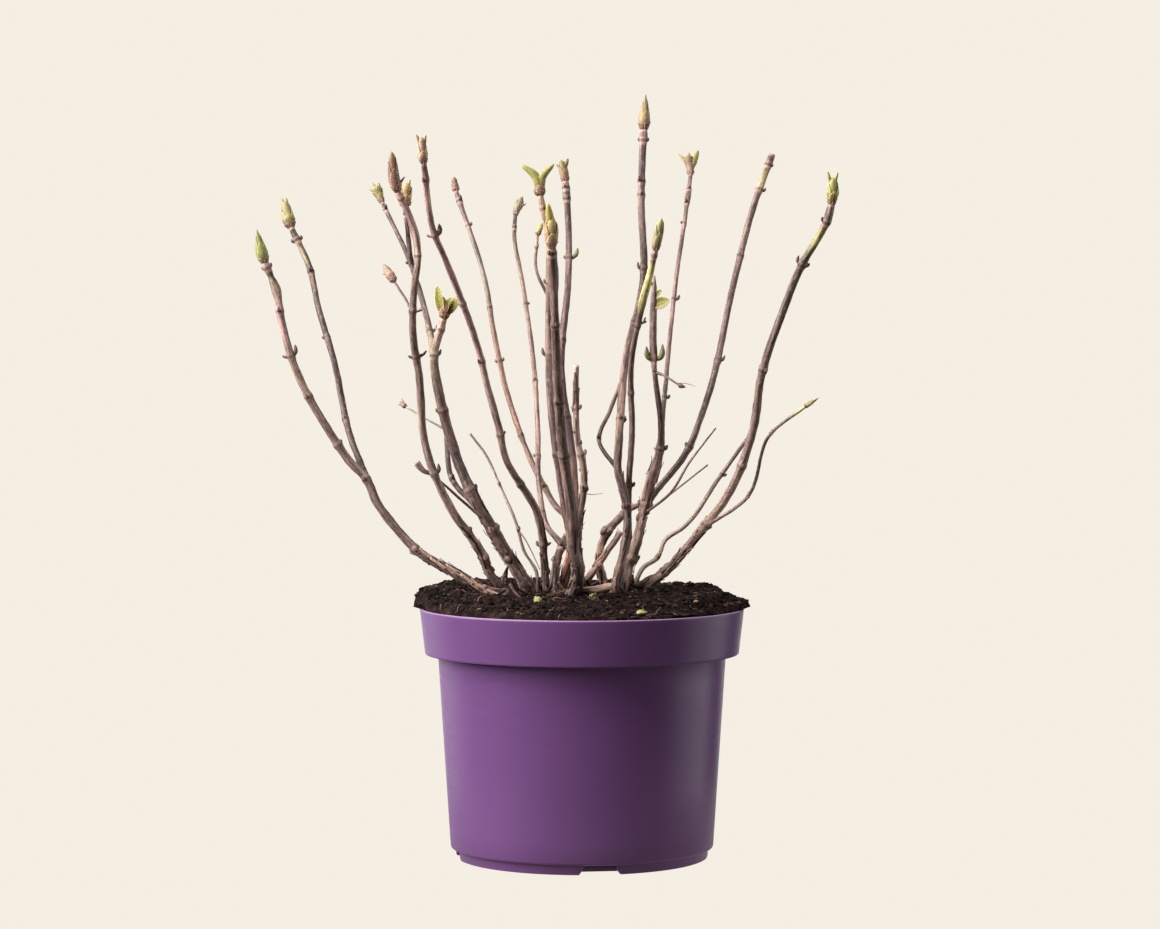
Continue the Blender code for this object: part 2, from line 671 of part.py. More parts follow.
def pot_profile():
    """The pot's outer wall from the middle of its underside up over the rim, and its inner wall down."""
    shoulder = POT_HEIGHT - COLLAR_HEIGHT
    return (
        (0, 0),
        (FOOT_RADIUS - 1.2, 0),
        (FOOT_RADIUS, 1.2),
        (FOOT_RADIUS + 0.4, FOOT_HEIGHT - 0.4),
        (BODY_FOOT_RADIUS - 0.8, FOOT_HEIGHT + 0.4),
        (BODY_FOOT_RADIUS, FOOT_HEIGHT + 1.8),
        (BODY_TOP_RADIUS, shoulder - 1.4),
        (BODY_TOP_RADIUS + 1.0, shoulder - 0.2),
        (COLLAR_FOOT_RADIUS - 1.0, shoulder),
        (COLLAR_FOOT_RADIUS, shoulder + 1.0),
        (RIM_RADIUS, POT_HEIGHT - 1.2),
        (RIM_RADIUS - 0.5, POT_HEIGHT - 0.2),
        (RIM_RADIUS - 1.3, POT_HEIGHT),
        (RIM_RADIUS - WALL, POT_HEIGHT - 0.8),
        (COLLAR_FOOT_RADIUS - WALL, shoulder + WALL + 1.4),
        (BODY_TOP_RADIUS - WALL, shoulder + WALL - 0.2),
        (BODY_FOOT_RADIUS - WALL, FOOT_HEIGHT + WALL + 0.6),
        (FOOT_RADIUS - WALL, FOOT_HEIGHT + WALL - 1.2),
        (FOOT_RADIUS - WALL, FLOOR),
        (0, FLOOR),
    )


def notch_cutter(index):
    """A wedge that cuts one drain notch through the foot of the wall and the floor's edge."""
    bm = bmesh.new()
    low, high = (width / 2 for width in NOTCH_WIDTHS)
    under, top = -2, FOOT_HEIGHT - 0.6
    corners = ((-low, under), (low, under), (low, 0), (high, top), (-high, top), (-low, 0))
    ends = []
    for distance in NOTCH_REACH:
        ends.append([bm.verts.new((x, -distance, z)) for x, z in corners])
    skin(bm, ends)
    cutter = as_cutter(new_object(f"notch_cutter_{index}", bm, smooth=False))
    cutter.rotation_euler.z = math.radians(NOTCH_ANGLE + 360 * index / NOTCH_COUNT)
    return cutter


def make_pot():
    pot = spun("pot", pot_profile(), POT_SIDES)
    for index in range(NOTCH_COUNT):
        add_boolean(pot, f"notch_{index}", "DIFFERENCE", notch_cutter(index))
    finish(pot, "pot", 0.35)


def soil_waves(turn, mean, right, back, sides):
    """A height or radius that differs between the pot's right, back, left and front."""
    return mean + right * math.cos(turn) + back * math.sin(turn) + sides * math.cos(2 * turn)


def make_soil():
    """Peat that fills the pot, flat where the stems stand, heaped round them, and low in front."""
    shoulder = POT_HEIGHT - COLLAR_HEIGHT
    inset = WALL + SOIL_CLEARANCE
    draw = random.Random(5)
    bm = bmesh.new()
    lower = (
        (NOTCH_REACH[0] - 2, FLOOR + GAP),
        (FOOT_RADIUS - inset, FOOT_HEIGHT + 2.0),
        (BODY_FOOT_RADIUS - inset, FOOT_HEIGHT + WALL + 2.2),
        (BODY_TOP_RADIUS - inset, shoulder + WALL + 0.4),
        (COLLAR_FOOT_RADIUS - inset, shoulder + WALL + 2.4),
        (RIM_RADIUS - inset, POT_HEIGHT + GAP),
    )
    rings = [level_ring(bm, radius, height, SOIL_SIDES) for radius, height in lower]
    turns = [2 * math.pi * i / SOIL_SIDES for i in range(SOIL_SIDES)]
    upper = [[] for _ in range(4)]
    for turn in turns:
        edge = soil_waves(turn, *SOIL_EDGE)
        edge_height = soil_waves(turn, *SOIL_EDGE_HEIGHT) + draw.uniform(-EDGE_LUMPS, EDGE_LUMPS)
        heap = soil_waves(turn, *SOIL_HEAP_HEIGHT) + draw.uniform(-HEAP_LUMPS, HEAP_LUMPS)
        spots = (
            (edge, POT_HEIGHT + GAP),
            (edge + EDGE_BULGE, (POT_HEIGHT + edge_height) / 2),
            (edge - EDGE_ROUNDING, edge_height),
            (SOIL_RING_RADIUS, heap),
        )
        for ring, (radius, height) in zip(upper, spots):
            ring.append(bm.verts.new((radius * math.cos(turn), radius * math.sin(turn), height)))
    rings += upper
    rings.append(level_ring(bm, SOIL_FLAT_RADIUS, SOIL_TOP, SOIL_SIDES))
    skin(bm, rings)
    finish(new_object("soil", bm), "soil", 0.95)


def make_scraps():
    """A broken shard that stands in the soil, and an old cut piece that lies on it."""
    floor = SOIL_TOP + GAP
    for name, path, profile, colour in SCRAPS:
        line = [Vector((x, y, floor + z)) for x, y, z in path]
        finish(spindle(name, line, profile, 6), colour, 0.8)


def main():
    for obj in list(bpy.data.objects):
        bpy.data.objects.remove(obj)
    make_pot()
    make_soil()
    curves = make_limbs()
    make_shoots(curves)
    make_top_twig()
    make_scraps()


main()
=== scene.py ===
"""The look of a bare hydrangea with swelling buds in its nursery pot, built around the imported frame.

Tables are in millimetres, -Y is the front, and +X is the viewer's right. Colours are written as they
look on a screen, from 0 to 255.
"""

import json
import math
import random
from dataclasses import dataclass

import bpy
import numpy as np
from mathutils import Matrix, Vector, noise

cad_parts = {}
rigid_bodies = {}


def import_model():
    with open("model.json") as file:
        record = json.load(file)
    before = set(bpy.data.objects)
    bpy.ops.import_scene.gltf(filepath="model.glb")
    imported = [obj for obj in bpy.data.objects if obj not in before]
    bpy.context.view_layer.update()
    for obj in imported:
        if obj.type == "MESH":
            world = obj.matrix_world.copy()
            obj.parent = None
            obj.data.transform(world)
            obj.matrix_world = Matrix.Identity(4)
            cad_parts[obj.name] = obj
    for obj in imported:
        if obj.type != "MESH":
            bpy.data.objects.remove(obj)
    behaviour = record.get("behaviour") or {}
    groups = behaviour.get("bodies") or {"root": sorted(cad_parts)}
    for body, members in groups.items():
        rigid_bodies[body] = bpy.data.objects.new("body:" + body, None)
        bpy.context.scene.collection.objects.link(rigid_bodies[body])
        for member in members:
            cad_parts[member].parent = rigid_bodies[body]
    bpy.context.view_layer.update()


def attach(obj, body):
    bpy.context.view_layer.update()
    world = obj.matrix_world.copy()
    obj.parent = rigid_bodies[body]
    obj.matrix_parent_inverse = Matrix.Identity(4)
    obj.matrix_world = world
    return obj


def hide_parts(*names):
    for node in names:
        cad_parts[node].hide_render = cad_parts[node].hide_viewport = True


MM = 0.001
FULL_TURN = 2 * math.pi
UP = Vector((0, 0, 1))

# Pot
POT_HEIGHT = 177.0
RIM_RADIUS = 114.8
COLLAR_HEIGHT = 32.2
COLLAR_FOOT_RADIUS = 111.3
COLLAR_FOOT_HEIGHT = POT_HEIGHT - COLLAR_HEIGHT
BODY_TOP_RADIUS = 102.0
BODY_FOOT_RADIUS = 93.3
FOOT_RADIUS = 89.3
FOOT_HEIGHT = 7.0
WALL = 2.1
FLOOR = 3.0
POT_SIDES = 168
POT_SHARP_DEGREES = 38
NOTCH_COUNT = 4
NOTCH_ANGLE = 8.0
NOTCH_WIDTHS = (29.0, 21.0)
NOTCH_REACH = (72.0, 104.0)
PAINTED_RIM_HIGHLIGHT = (0.1758, 0.1772)  # from this height to this, in metres, its colour is painted paler: a painted highlight along the rim's rounded top edge

# Soil
SOIL_TOP = 187.0
SOIL_FLAT_RADIUS = 76.0
SOIL_RING_RADIUS = 96.0
SOIL_SIDES = 220
SOIL_RINGS = 96
SOIL_INSET = WALL + 0.45
SOIL_EDGES = (111.7, 113.6, 119.3)  # its radius at the front, at the back and at the sides
# its height where it is highest and at its edge: mean, and more at the right, at the back and sideways
SOIL_HEAP_HEIGHT = (189.5, -2.0, 3.0, 3.0)
SOIL_EDGE_HEIGHT = (183.9, -3.8, 1.6, 2.4)
SOIL_SHOULDER = 9.0
EDGE_BLEND = 0.4  # the sine of the turn by which its edge has gone over from its sides to its front
SOIL_LUMPS = ((2.2, 0.05, 3.1), (1.6, 0.16, 7.7), (1.0, 0.45, 1.3))  # height, fineness and seed
SOIL_RAGGED = ((1, 9, 0.5), (0.7, 31, 4.5))  # the same for how ragged its edge is
RAGGED_RINGS = 8
MOUND_HEIGHT = 3.2
MOUND_REACH = 1.5
SOIL_TINT = (48, 34, 31)
SHOULDER_FOOT = POT_HEIGHT + 1.0
CRUMB_COUNT = 4600
CRUMB_SEED = 11
CRUMB_SIZES = (0.5, 1.9, 2.6)  # the smallest, what is added at most, and how rare the large ones are
CRUMB_STRETCHES = ((0.7, 1.5), (0.7, 1.2), (0.5, 0.9))
CRUMB_TILT = 0.7
CRUMB_EDGE_SHARE = 0.22
CRUMB_TINTS = ((18, 13, 13), (31, 22, 20), (48, 34, 29), (82, 60, 48), (142, 114, 92))
CRUMB_TINT_SPREAD = 1.45
FIBRE_COUNT = 760
FIBRE_SEED = 23
FIBRE_LENGTHS = (2.5, 10.5)
FIBRE_WIDTHS = (0.2, 0.65)
FIBRE_BEND = 0.6
FIBRE_LIFTS = (0.0, 1.1)
FIBRE_EDGE_SHARE = 0.3
FIBRE_TINTS = (1, 2, 2, 3, 3, 4)  # which of the crumbs' tints they take, the commoner ones twice
ROOTS_EACH = 9
ROOT_SEED = 67
ROOT_REACHES = (1.2, 3.0)  # in shares of the stem's width
ROOT_RISES = (3, 11)
ROOT_LIFTS = (0.5, 2.0)
ROOT_WIDTHS = (0.9, 2.6)
ROOT_TINTS = ((30, 22, 21), (44, 32, 29), (62, 46, 40), (92, 70, 60), (40, 29, 27))

# Limbs
RING_STEP = 1.1
NODE_SWELL = 0.2
NODE_HALF = 2.6
FORK_SWELL = 0.22
FORK_HALF = 4.0
FOOT_FLARE = 0.35
FLARE_LENGTH = 7.0
BURIED = 12.0
DEPTH_POWERS = (0.85, 1.3)
WAVE_TURNS = (1.2, 2.2)
WAVE_SHARE = 0.016
CURVE_STEP = 3.0
THIN_WIDTH = 3.4
THICK_SIDES = 18
THIN_SIDES = 10
FOOT_ROUGHNESS = 0.34
BOUGH_ROUGHNESS = 0.15
SMOOTH_RELIEF = 0.13
ROUGH_REACH = 45
FOOT_STAIN_AND_SHADE = (0.6, 15)  # how much darker a rooted limb's foot is, partly soil stain and partly painted shade among the crowded feet, and how far up
SEED_STEP = 3.7
# the bark's relief: how fine each is round the limb and along it, its share of the radius and of the tone
LUMP = (0.9, 0.11, 0.8, 0.18)
RIDGE = (2.2, 0.05, 0.7, 0.3)
WART = (2.6, 0.5, 0.3)
BLOTCH = (0.035, 0.25)  # how fine along the limb, and its share of the tone
# the rings at each node: how pale, more near the tip within so far, and where and how wide they are
RING_PALE = (0.16, 0.62, 28)
LOWER_RING = (-2.0, 1.0)
UPPER_RING = (1.7, 0.7)
UPPER_RING_SHARE = 0.6
SCAR = (0.6, 0.9)  # how dark and how wide
TIP_RING = (0.6, 1.1, 0.6)  # how far below the tip, how wide and how pale
TIP_RING_WIDTH = 2.5  # only on limbs thicker than this at the tip


@dataclass
class Limb:
    """A tapering limb through points (x, z), leaning in y from its foot or fork to its tip."""

    parent: str
    widths: tuple
    depths: tuple
    path: tuple
    nodes: tuple  # distances along it of its swollen nodes
    tones: str  # its bark's tones, each but the first after the share of its length where it is reached
    shade: float = 1.0  # how much paler than its tones it is
    swells: tuple = ()  # where it is thicker than its taper: distance along it, half length, extra share

    @property
    def buried(self):
        """How much of it lies under the soil."""
        return 0.0 if self.parent else BURIED


@dataclass
class Shoot:
    """What grows on a limb's tip: a closed bud, a split bud or an opening pair of leaves."""

    kind: str
    length: float
    width: float
    leans: tuple  # degrees to the right of upright: of the bud, or of each of its two points or leaves
    tint: str
    shade: float  # how much paler than its tint it is
    outline: tuple = ()  # in shares of its length and half width, where it isn't the one of its kind
    # the tips that stand out of it: degrees to the right of upright, share of its length where each
    # leaves its middle and where it ends, width and bend to its own side
    prongs: tuple = ()
    # its leaves: lean, curl at the tip, length in shares of its own, width in shares of its length and
    # how far each faces to its own side
    blades: tuple = ()
    sink: float = 0.9  # how far below its limb's tip it starts


LIMBS = {
    "stem_far_left": Limb("", (6.6, 4.8), (-30, -55),
        ((-52, 187), (-70, 192), (-84, 201), (-115, 220), (-132, 238), (-143, 253), (-150, 269),
         (-162, 282), (-177, 305), (-194, 336), (-208, 381), (-211, 400), (-219, 420)),
        (74, 134, 165, 205, 236, 268, 299),
        "peat 0.1 soot 0.22 umber 0.32 slate 0.6 umber 0.76 fawn 0.79 umber 0.84 rose 0.88 plum 0.92 fawn "
        "0.955 olive_dark 0.972 soot 0.985 umber 1 plum", 0.95,
        ((283, 6.5, 0.34), (292.5, 2.6, -0.2), (30, 22, 0.1))),
    "stem_left": Limb("", (6.2, 4.3), (-12, -95),
        ((-53, 187), (-66, 205), (-69, 214), (-77, 227), (-89, 245), (-108, 290), (-113, 345),
         (-116, 367), (-114, 408), (-112, 420), (-117, 450), (-125, 467)),
        (33, 56, 105, 190, 224, 264, 305),
        "peat 0.06 umber 0.4 umber 0.6 slate 0.78 slate 0.86 fawn 0.95 plum 1 rose", 1.15,
        ((280, 8, 0.2),)),
    "stem_left_thick": Limb("", (9.9, 5.0), (12, -22),
        ((-36, 187), (-59, 224), (-86, 276), (-101, 332), (-104, 353), (-97, 382)), (54, 86, 148, 188, 207),
        "peat 0.12 umber 0.3 slate 0.5 soot 0.62 umber 0.76 umber 0.86 olive_dark 0.92 fawn 1 rose", 1.0,
        ((163, 14, 0.12),)),
    "stem_left_thin": Limb("", (2.5, 1.7), (-22, -48),
        ((-31, 187), (-32, 204), (-41, 220), (-45, 236), (-58, 267), (-67, 287), (-78, 302)), (51, 87),
        "umber 0.3 ash 1 ash", 1.25),
    "stem_front_left": Limb("", (5.4, 4.0), (4, -150),
        ((-25, 187), (-32, 246), (-54, 287), (-57, 303), (-66, 338), (-71, 360), (-81, 391), (-91, 418),
         (-99, 438), (-105, 484)), (36, 89, 133, 189, 236, 294, 336),
        "peat 0.06 umber 0.5 umber 0.8 plum 0.92 rose 1 plum", 1.5, ((338, 5, 0.2),)),
    "stem_back_left": Limb("", (4.6, 3.3), (30, 140),
        ((-6, 187), (-11, 239), (-18, 246), (-27, 260), (-51, 316), (-65, 374), (-70, 404), (-94, 478)),
        (83, 127, 186, 228, 298, 320),
        "peat 0.06 umber 0.2 fawn 0.4 copper 0.6 copper 0.8 ash 0.92 fawn 1 plum", 0.52, ((320, 4, 0.25),)),
    "stem_middle": Limb("", (6.1, 4.5), (-20, -36),
        ((-16, 187), (-8, 222), (-13, 255), (-22, 325), (-23, 408), (-23, 437), (-29, 467)),
        (102, 172, 223, 275), "rust 0.12 rust 0.25 plum 0.75 umber 0.86 tan 0.94 fawn 1 tan", 0.82,
        ((262, 8, 0.15),)),
    "stem_front": Limb("", (9.2, 4.5), (-44, -160),
        ((-6, 187), (-3, 211), (-6, 222), (-6, 236), (-13, 292), (-20, 427)), (115, 157, 215, 266),
        "peat 0.1 umber 0.4 slate 0.8 slate 0.88 umber 0.95 slate 1 plum", 0.95, ((252, 14, 0.55),)),
    "stem_back": Limb("", (6.1, 4.5), (6, 66),
        ((-9, 187), (-5, 232), (-6, 274), (-15, 351), (-10, 410), (-10, 455), (-12, 482)),
        (52, 128, 184, 246, 290, 298),
        "rust 0.2 rust 0.35 plum 0.55 plum 0.8 rose 0.92 plum 0.96 umber 1 umber", 0.48, ((294, 5, 0.2),)),
    "stem_cut": Limb("", (5.7, 3.7), (-5, -40), ((1, 187), (-3, 222), (1, 276), (-3, 297), (-4, 349)),
        (79, 103, 136), "peat 0.08 slate 0.3 slate 0.5 fawn 0.75 fawn 1 fawn", 1.4),
    "stem_tall": Limb("", (5.9, 4.8), (-30, 20),
        ((22, 187), (32, 246), (25, 279), (26, 297), (31, 353), (43, 406), (42, 470), (44, 516)),
        (64, 127, 199, 237, 290, 300, 330),
        "rust 0.12 umber 0.25 plum 0.36 clay 0.5 rose 0.62 umber 0.75 slate 0.87 rose 0.9 soot 0.96 plum "
        "0.975 rose 1 plum", 0.6, ((333, 3, 0.2),)),
    "stem_right_thick": Limb("", (8.1, 3.5), (6, -14),
        ((30, 187), (33, 205), (38, 222), (47, 261), (55, 289), (51, 347)), (25, 65, 107),
        "peat 0.1 umber 0.28 fawn 0.45 rose 0.6 umber 0.68 soot 0.74 peat 1 peat", 1.2, ((86, 19, 0.45),)),
    "stem_far_right": Limb("", (6.6, 4.9), (14, -70),
        ((37, 187), (64, 207), (78, 224), (105, 261), (120, 304), (125, 342), (141, 391), (151, 417),
         (169, 451), (171, 460)), (27, 73, 123, 198, 277, 312),
        "umber 0.1 fawn 0.3 fawn 0.5 umber 0.8 slate 0.88 olive_dark 0.91 olive 0.94 olive 0.955 soot "
        "0.98 umber 1 fawn", 0.85, ((316, 5, 0.1), (278, 3, 0.2))),
    "stem_right_thin": Limb("", (3.5, 2.8), (34, 40),
        ((36, 187), (45, 204), (54, 210), (60, 223), (72, 231), (99, 268), (120, 297)), (31, 108),
        "ash 1 umber", 1.15),
    "stub_back": Limb("", (6.1, 5.0), (46, 34), ((17, 187), (12, 208), (18, 228), (37, 248)),
        (44,), "clay 0.5 clay 0.65 umber 1 umber", 1.1),
    "stub_tan": Limb("", (5.0, 4.0), (20, 14), ((-3, 187), (10, 204), (28, 230)),
        (24,), "clay 1 umber", 1.3),
    "stub_front": Limb("", (6.4, 5.0), (-34, -4), ((-19, 187), (-18, 211), (-11, 228)),
        (41,), "peat 0.5 umber 1 umber", 0.4),
    "bough_far_left": Limb("stem_far_left", (4.6, 4.2), (0, 45),
        ((-148, 265), (-163, 299), (-176, 353), (-189, 393), (-195, 418), (-209, 447)), (57, 120, 174, 200),
        "peat 0.2 umber 0.5 plum 0.76 umber 0.8 clay 0.83 soot 0.86 tan 0.92 tan 0.955 soot 1 soot", 0.39,
        ((201, 3, 0.2),)),
    "bough_left": Limb("stem_left_thick", (4.6, 2.8), (0, 85),
        ((-104, 355), (-109, 378), (-124, 423), (-146, 467)), (26, 96, 150),
        "tan 0.3 fawn 0.6 umber 1 umber", 0.34),
    "bough_left_upper": Limb("bough_left", (3.5, 3.3), (0, 40), ((-124, 421), (-127, 462)),
        (38,), "plum 1 rose", 0.32),
    "bough_left_dark": Limb("stem_left_thick", (4.2, 3.5), (0, 25), ((-72, 246), (-92, 267), (-97, 298)),
        (31,), "umber 1 plum", 0.28),
    "bough_back": Limb("stub_front", (4.0, 3.0), (0, 175),
        ((-15, 222), (-24, 233), (-30, 257), (-32, 302), (-35, 345), (-41, 389), (-44, 408), (-51, 448),
         (-50, 465)), (33, 82, 152, 220, 293), "fawn 0.3 rose 0.8 clay 0.95 olive_dark 1 plum", 0.54),
    "bough_front_right": Limb("stem_right_thick", (4.5, 3.8), (0, -85),
        ((35, 207), (33, 265), (35, 304), (34, 346), (50, 428)), (59, 128, 182, 236),
        "umber 0.3 slate 0.8 slate 0.83 olive 0.845 lime 0.95 lime 0.965 umber 1 fawn", 1.05,
        ((207, 20, 0.4),)),
    "bough_back_right": Limb("stem_right_thick", (3.3, 3.1), (0, 165),
        ((56, 302), (69, 411), (76, 452), (82, 491)), (32, 125, 206, 227, 242),
        "soot 0.15 umber 0.4 rose 0.78 rose 0.84 olive_dark 0.89 umber 0.94 clay 0.97 plum 1 umber", 0.62,
        ((236, 8, 0.5),)),
    "bough_right": Limb("stem_right_thick", (4.6, 4.8), (0, 105),
        ((45, 248), (59, 267), (71, 281), (89, 322), (111, 410), (123, 456), (140, 503)),
        (58, 130, 212, 267, 288),
        "fawn 0.15 umber 0.3 umber 0.6 plum 0.86 fawn 0.89 umber 0.905 tan 0.955 olive 0.965 plum 1 slate",
        0.6, ((270, 6, 0.12), (289, 6, 0.1))),
    "bough_wavy": Limb("stem_tall", (3.1, 2.8), (0, 22), ((26, 276), (12, 296), (20, 317), (31, 344)),
        (29,), "soot 0.4 umber 1 fawn", 0.45),
    "twig_left_bud": Limb("bough_left", (2.0, 1.7), (0, 30),
        ((-113, 390), (-120, 387), (-126, 396), (-134, 408)), (), "umber 0.7 umber 1 plum"),
    "twig_left_low": Limb("stem_left_thick", (2.3, 1.7), (0, -20), ((-66, 238), (-99, 267)),
        (), "umber"),
    "twig_left_fine": Limb("stem_left_thick", (1.6, 1.4), (0, 22), ((-96, 302), (-126, 319)),
        (), "ash"),
    "twig_middle": Limb("stem_middle", (2.3, 2.1), (0, -28), ((-22, 395), (-32, 416), (-31, 440)),
        (37,), "umber 0.8 umber 1 fawn", 0.95),
    "twig_right_small": Limb("stem_right_thick", (1.8, 1.4), (0, -34), ((51, 343), (57, 342), (68, 335)),
        (), "umber", 0.45),
    "twig_right": Limb("stem_right_thick", (2.1, 1.5), (0, -62),
        ((44, 242), (62, 259), (74, 280), (92, 306)), (), "umber 1 fawn", 0.95),
    "twig_right_hair": Limb("twig_right", (1.4, 1.2), (0, 30), ((58, 256), (90, 277)),
        (), "umber 1 fawn"),
    "twig_far_right": Limb("stem_far_right", (2.7, 2.1), (0, -110),
        ((88, 232), (116, 257), (129, 302), (151, 322)), (47, 115),
        "umber 0.6 slate 0.88 olive_dark 1 olive", 1.3),
}

SHOOTS = {
    "stem_far_left": Shoot("closed", 25, 8.0, (-14,), "fresh", 0.48),
    "bough_far_left": Shoot("split", 25, 9.0, (-19, -13), "olive", 0.5,
        prongs=((-20, 0.6, 1.0, 3.2, 0.0), (-12, 0.6, 0.98, 3.0, 0.0))),
    "bough_left": Shoot("split", 17, 8.4, (-31, -16), "olive", 0.46,
        outline=((0.15, 0.42), (0.4, 0.66), (0.7, 0.98), (0.82, 0.9), (0.86, 0.4)),
        prongs=((-42, 0.5, 0.96, 2.8, 0.1), (-28, 0.5, 1.1, 3.6, 0.0), (-12, 0.45, 1.02, 3.4, 0.0))),
    "stem_left": Shoot("closed", 29, 7.2, (-9,), "brown", 0.75,
        outline=((0.14, 0.86), (0.3, 1.0), (0.6, 0.9), (0.85, 0.62), (0.96, 0.34), (1, 0.1)),
        prongs=((20, 0.15, 0.42, 2.0, 0.1),)),
    "bough_left_upper": Shoot("closed", 20, 8.4, (4,), "rust", 0.85,
        outline=((0.1, 0.85), (0.35, 1.0), (0.7, 0.98), (0.86, 0.7), (0.9, 0.3)),
        prongs=((-12, 0.5, 1.0, 2.6, 0.1), (10, 0.55, 1.06, 2.8, 0.0))),
    "stem_left_thick": Shoot("leaves", 22, 7.5, (-9, 33), "green", 0.6,
        blades=((-10, 0.05, 1.06, 0.3, 0.55), (25, 1.0, 1.02, 0.38, 0.8))),
    "stem_front_left": Shoot("split", 21, 6.5, (-12, 4), "pink", 0.85,
        prongs=((-13, 0.5, 1.0, 2.8, 0.1), (5, 0.5, 0.98, 2.6, 0.0))),
    "stem_back_left": Shoot("closed", 12, 5.0, (-10,), "brown", 0.62,
        outline=((0.15, 0.9), (0.4, 1.0), (0.75, 0.72), (0.95, 0.45), (1, 0.15))),
    "bough_back": Shoot("split", 17, 6.2, (4, 35), "grey", 0.55,
        outline=((0.2, 0.62), (0.5, 1.0), (0.75, 0.8), (0.95, 0.35), (1, 0.1)),
        prongs=((40, 0.35, 0.8, 1.6, 0.1),),
        sink=5.5),
    "stem_middle": Shoot("leaves", 22, 8.5, (-36, 28), "green", 0.6,
        outline=((0.1, 0.72), (0.22, 0.86), (0.34, 0.8), (0.42, 0.4)),
        prongs=((-23, 0.16, 1.12, 6.4, 0.95), (13, 0.16, 1.06, 6.2, 0.95))),
    "stem_front": Shoot("closed", 31, 9.0, (-1,), "tipped", 0.9,
        outline=((0.06, 0.5), (0.2, 0.85), (0.4, 1.0), (0.55, 0.86), (0.68, 0.55), (0.74, 0.2)),
        prongs=((-5, 0.4, 1.03, 6.2, 0.0),)),
    "stem_back": Shoot("split", 17, 6.6, (-28, 5), "rust", 0.52,
        outline=((0.16, 0.8), (0.4, 0.95), (0.7, 0.86), (0.9, 0.6), (0.94, 0.2)),
        prongs=((-26, 0.45, 0.86, 2.0, 0.2), (6, 0.6, 1.04, 3.4, 0.0))),
    "stem_tall": Shoot("closed", 27, 7.8, (3,), "straw", 0.62),
    "bough_front_right": Shoot("closed", 24, 6.3, (10,), "sage", 0.85,
        outline=((0.12, 0.7), (0.35, 0.95), (0.6, 1.0), (0.85, 0.7), (0.97, 0.35), (1, 0.1))),
    "bough_back_right": Shoot("leaves", 21, 7.5, (-27, 17), "green", 0.55,
        outline=((0.14, 0.6), (0.35, 0.72), (0.6, 0.98), (0.74, 1.08), (0.8, 0.5)),
        prongs=((-26, 0.4, 1.04, 2.6, 0.2), (17, 0.3, 1.1, 5.6, 0.05), (-4, 0.4, 0.96, 4.6, 0.0))),
    "stem_far_right": Shoot("split", 24, 8.5, (-3, 9), "green", 0.68,
        outline=((0.14, 0.62), (0.34, 1.0), (0.55, 0.8), (0.72, 0.56), (0.76, 0.3)),
        prongs=((-7, 0.55, 1.0, 2.4, 0.0), (11, 0.55, 0.98, 2.4, 0.0))),
    "twig_left_bud": Shoot("split", 17, 5.8, (-48, -18), "pink", 0.6,
        outline=((0.15, 0.8), (0.42, 1.15), (0.7, 0.85), (0.95, 0.4), (1, 0.15)),
        prongs=((-50, 0.2, 0.72, 1.8, 0.3),)),
    "twig_left_fine": Shoot("split", 8, 3.2, (-73, -29), "pink", 0.5,
        prongs=((-73, 0.3, 0.9, 1.4, 0.1), (-29, 0.3, 1.0, 1.4, 0.0))),
    "twig_middle": Shoot("closed", 13, 3.5, (25,), "green", 0.75),
    "twig_right_small": Shoot("closed", 6, 2.6, (110,), "brown", 0.5),
    "twig_far_right": Shoot("closed", 13, 2.6, (55,), "olive", 0.6),
}
# a bud's outline by its kind, in shares of its length and half width, and a prong's
OUTLINES = {
    "closed": ((0.18, 0.9), (0.3, 1.0), (0.5, 0.82), (0.75, 0.45), (0.95, 0.14), (1, 0.05)),
    "split": ((0.14, 0.75), (0.3, 1.0), (0.55, 0.84), (0.8, 0.62), (0.86, 0.3)),
    "leaves": ((0.12, 0.8), (0.26, 1.0), (0.42, 0.9), (0.5, 0.3)),
}
PRONG_OUTLINE = ((0, 0.7), (0.3, 1.0), (0.6, 0.84), (0.88, 0.5), (0.96, 0.3))
# a bud's large scales: turn round it, reach in shares of its outline's top, half spread and stand-off
WRAPS = (
    (0.25, 0.92, 1.35, 0.2), (math.pi + 0.25, 0.86, 1.35, 0.2),
    (math.pi / 2 + 0.2, 0.68, 1.25, 0.35), (-math.pi / 2 + 0.2, 0.62, 1.25, 0.35),
)
SCALE_START = 0.04
SCALE_DRAWS = (-0.04, 0.04)  # what is added to each scale's reach
SCALE_FLARE = 0.1
SCALE_VEINS = 0.02
STRAW_VEINS = 0.06
# the dry scales at its foot: turn round it, reach and what is added to that, half spread and stand-off
DRY_TURNS = (-0.1, math.pi - 0.1)
DRY_REACH = 0.22
DRY_DRAWS = (-0.03, 0.05)
DRY_SPREAD = 1.5
DRY_LIFT = 0.45
NECK = ((0, 0.85), (0.06, 1))  # its foot's outline, in shares of its length and of its stalk's radius
BUD_BEND = (0.1, 0.08)  # how far it grows in its limb's direction, and in its own, before it bends
CORE_SHARE = 0.92  # how thick the pleated core is, as a share of the bud
CORE_ABOVE = 0.04  # how far it stands out above the bud's outline, as a share of its length
CORE_PLEATS = 0.05
PRONG_PLEATS = 0.08
PRONG_BOW = 0.2  # how far a bend of 1 bows it, as a share of the bud's length
BLADE_FOLD = 0.55
BACK_BLADE = (0.55, 0.8, 0.6, -0.2)  # the leaf behind each: its shares of length and width, fold, curl
TOP_TWIG = "top_right_thick"
TOP_PARENT = "stem_right_thick"
TOP_PATH = ((51, 347.3), (50, 365), (51, 412))
TOP_RADII = ((0, 1.7), (6, 2.2), (9, 3.0), (13, 2.7), (48, 2.5), (60, 1.7))  # distance and radius
TOP_END_RADIUS = 0.4
TOP_SUNK = 3.0
TOP_RING = (6.0, 0.5)  # the height and paleness of the ring round it
TOP_JOINT = 8  # how high above its foot its two paddle buds sit
TOP_BUDS = ((-1, 10.0), (1, 11.5))  # side and height
TOP_LEAF_HEIGHT = 26  # above the second point of its path
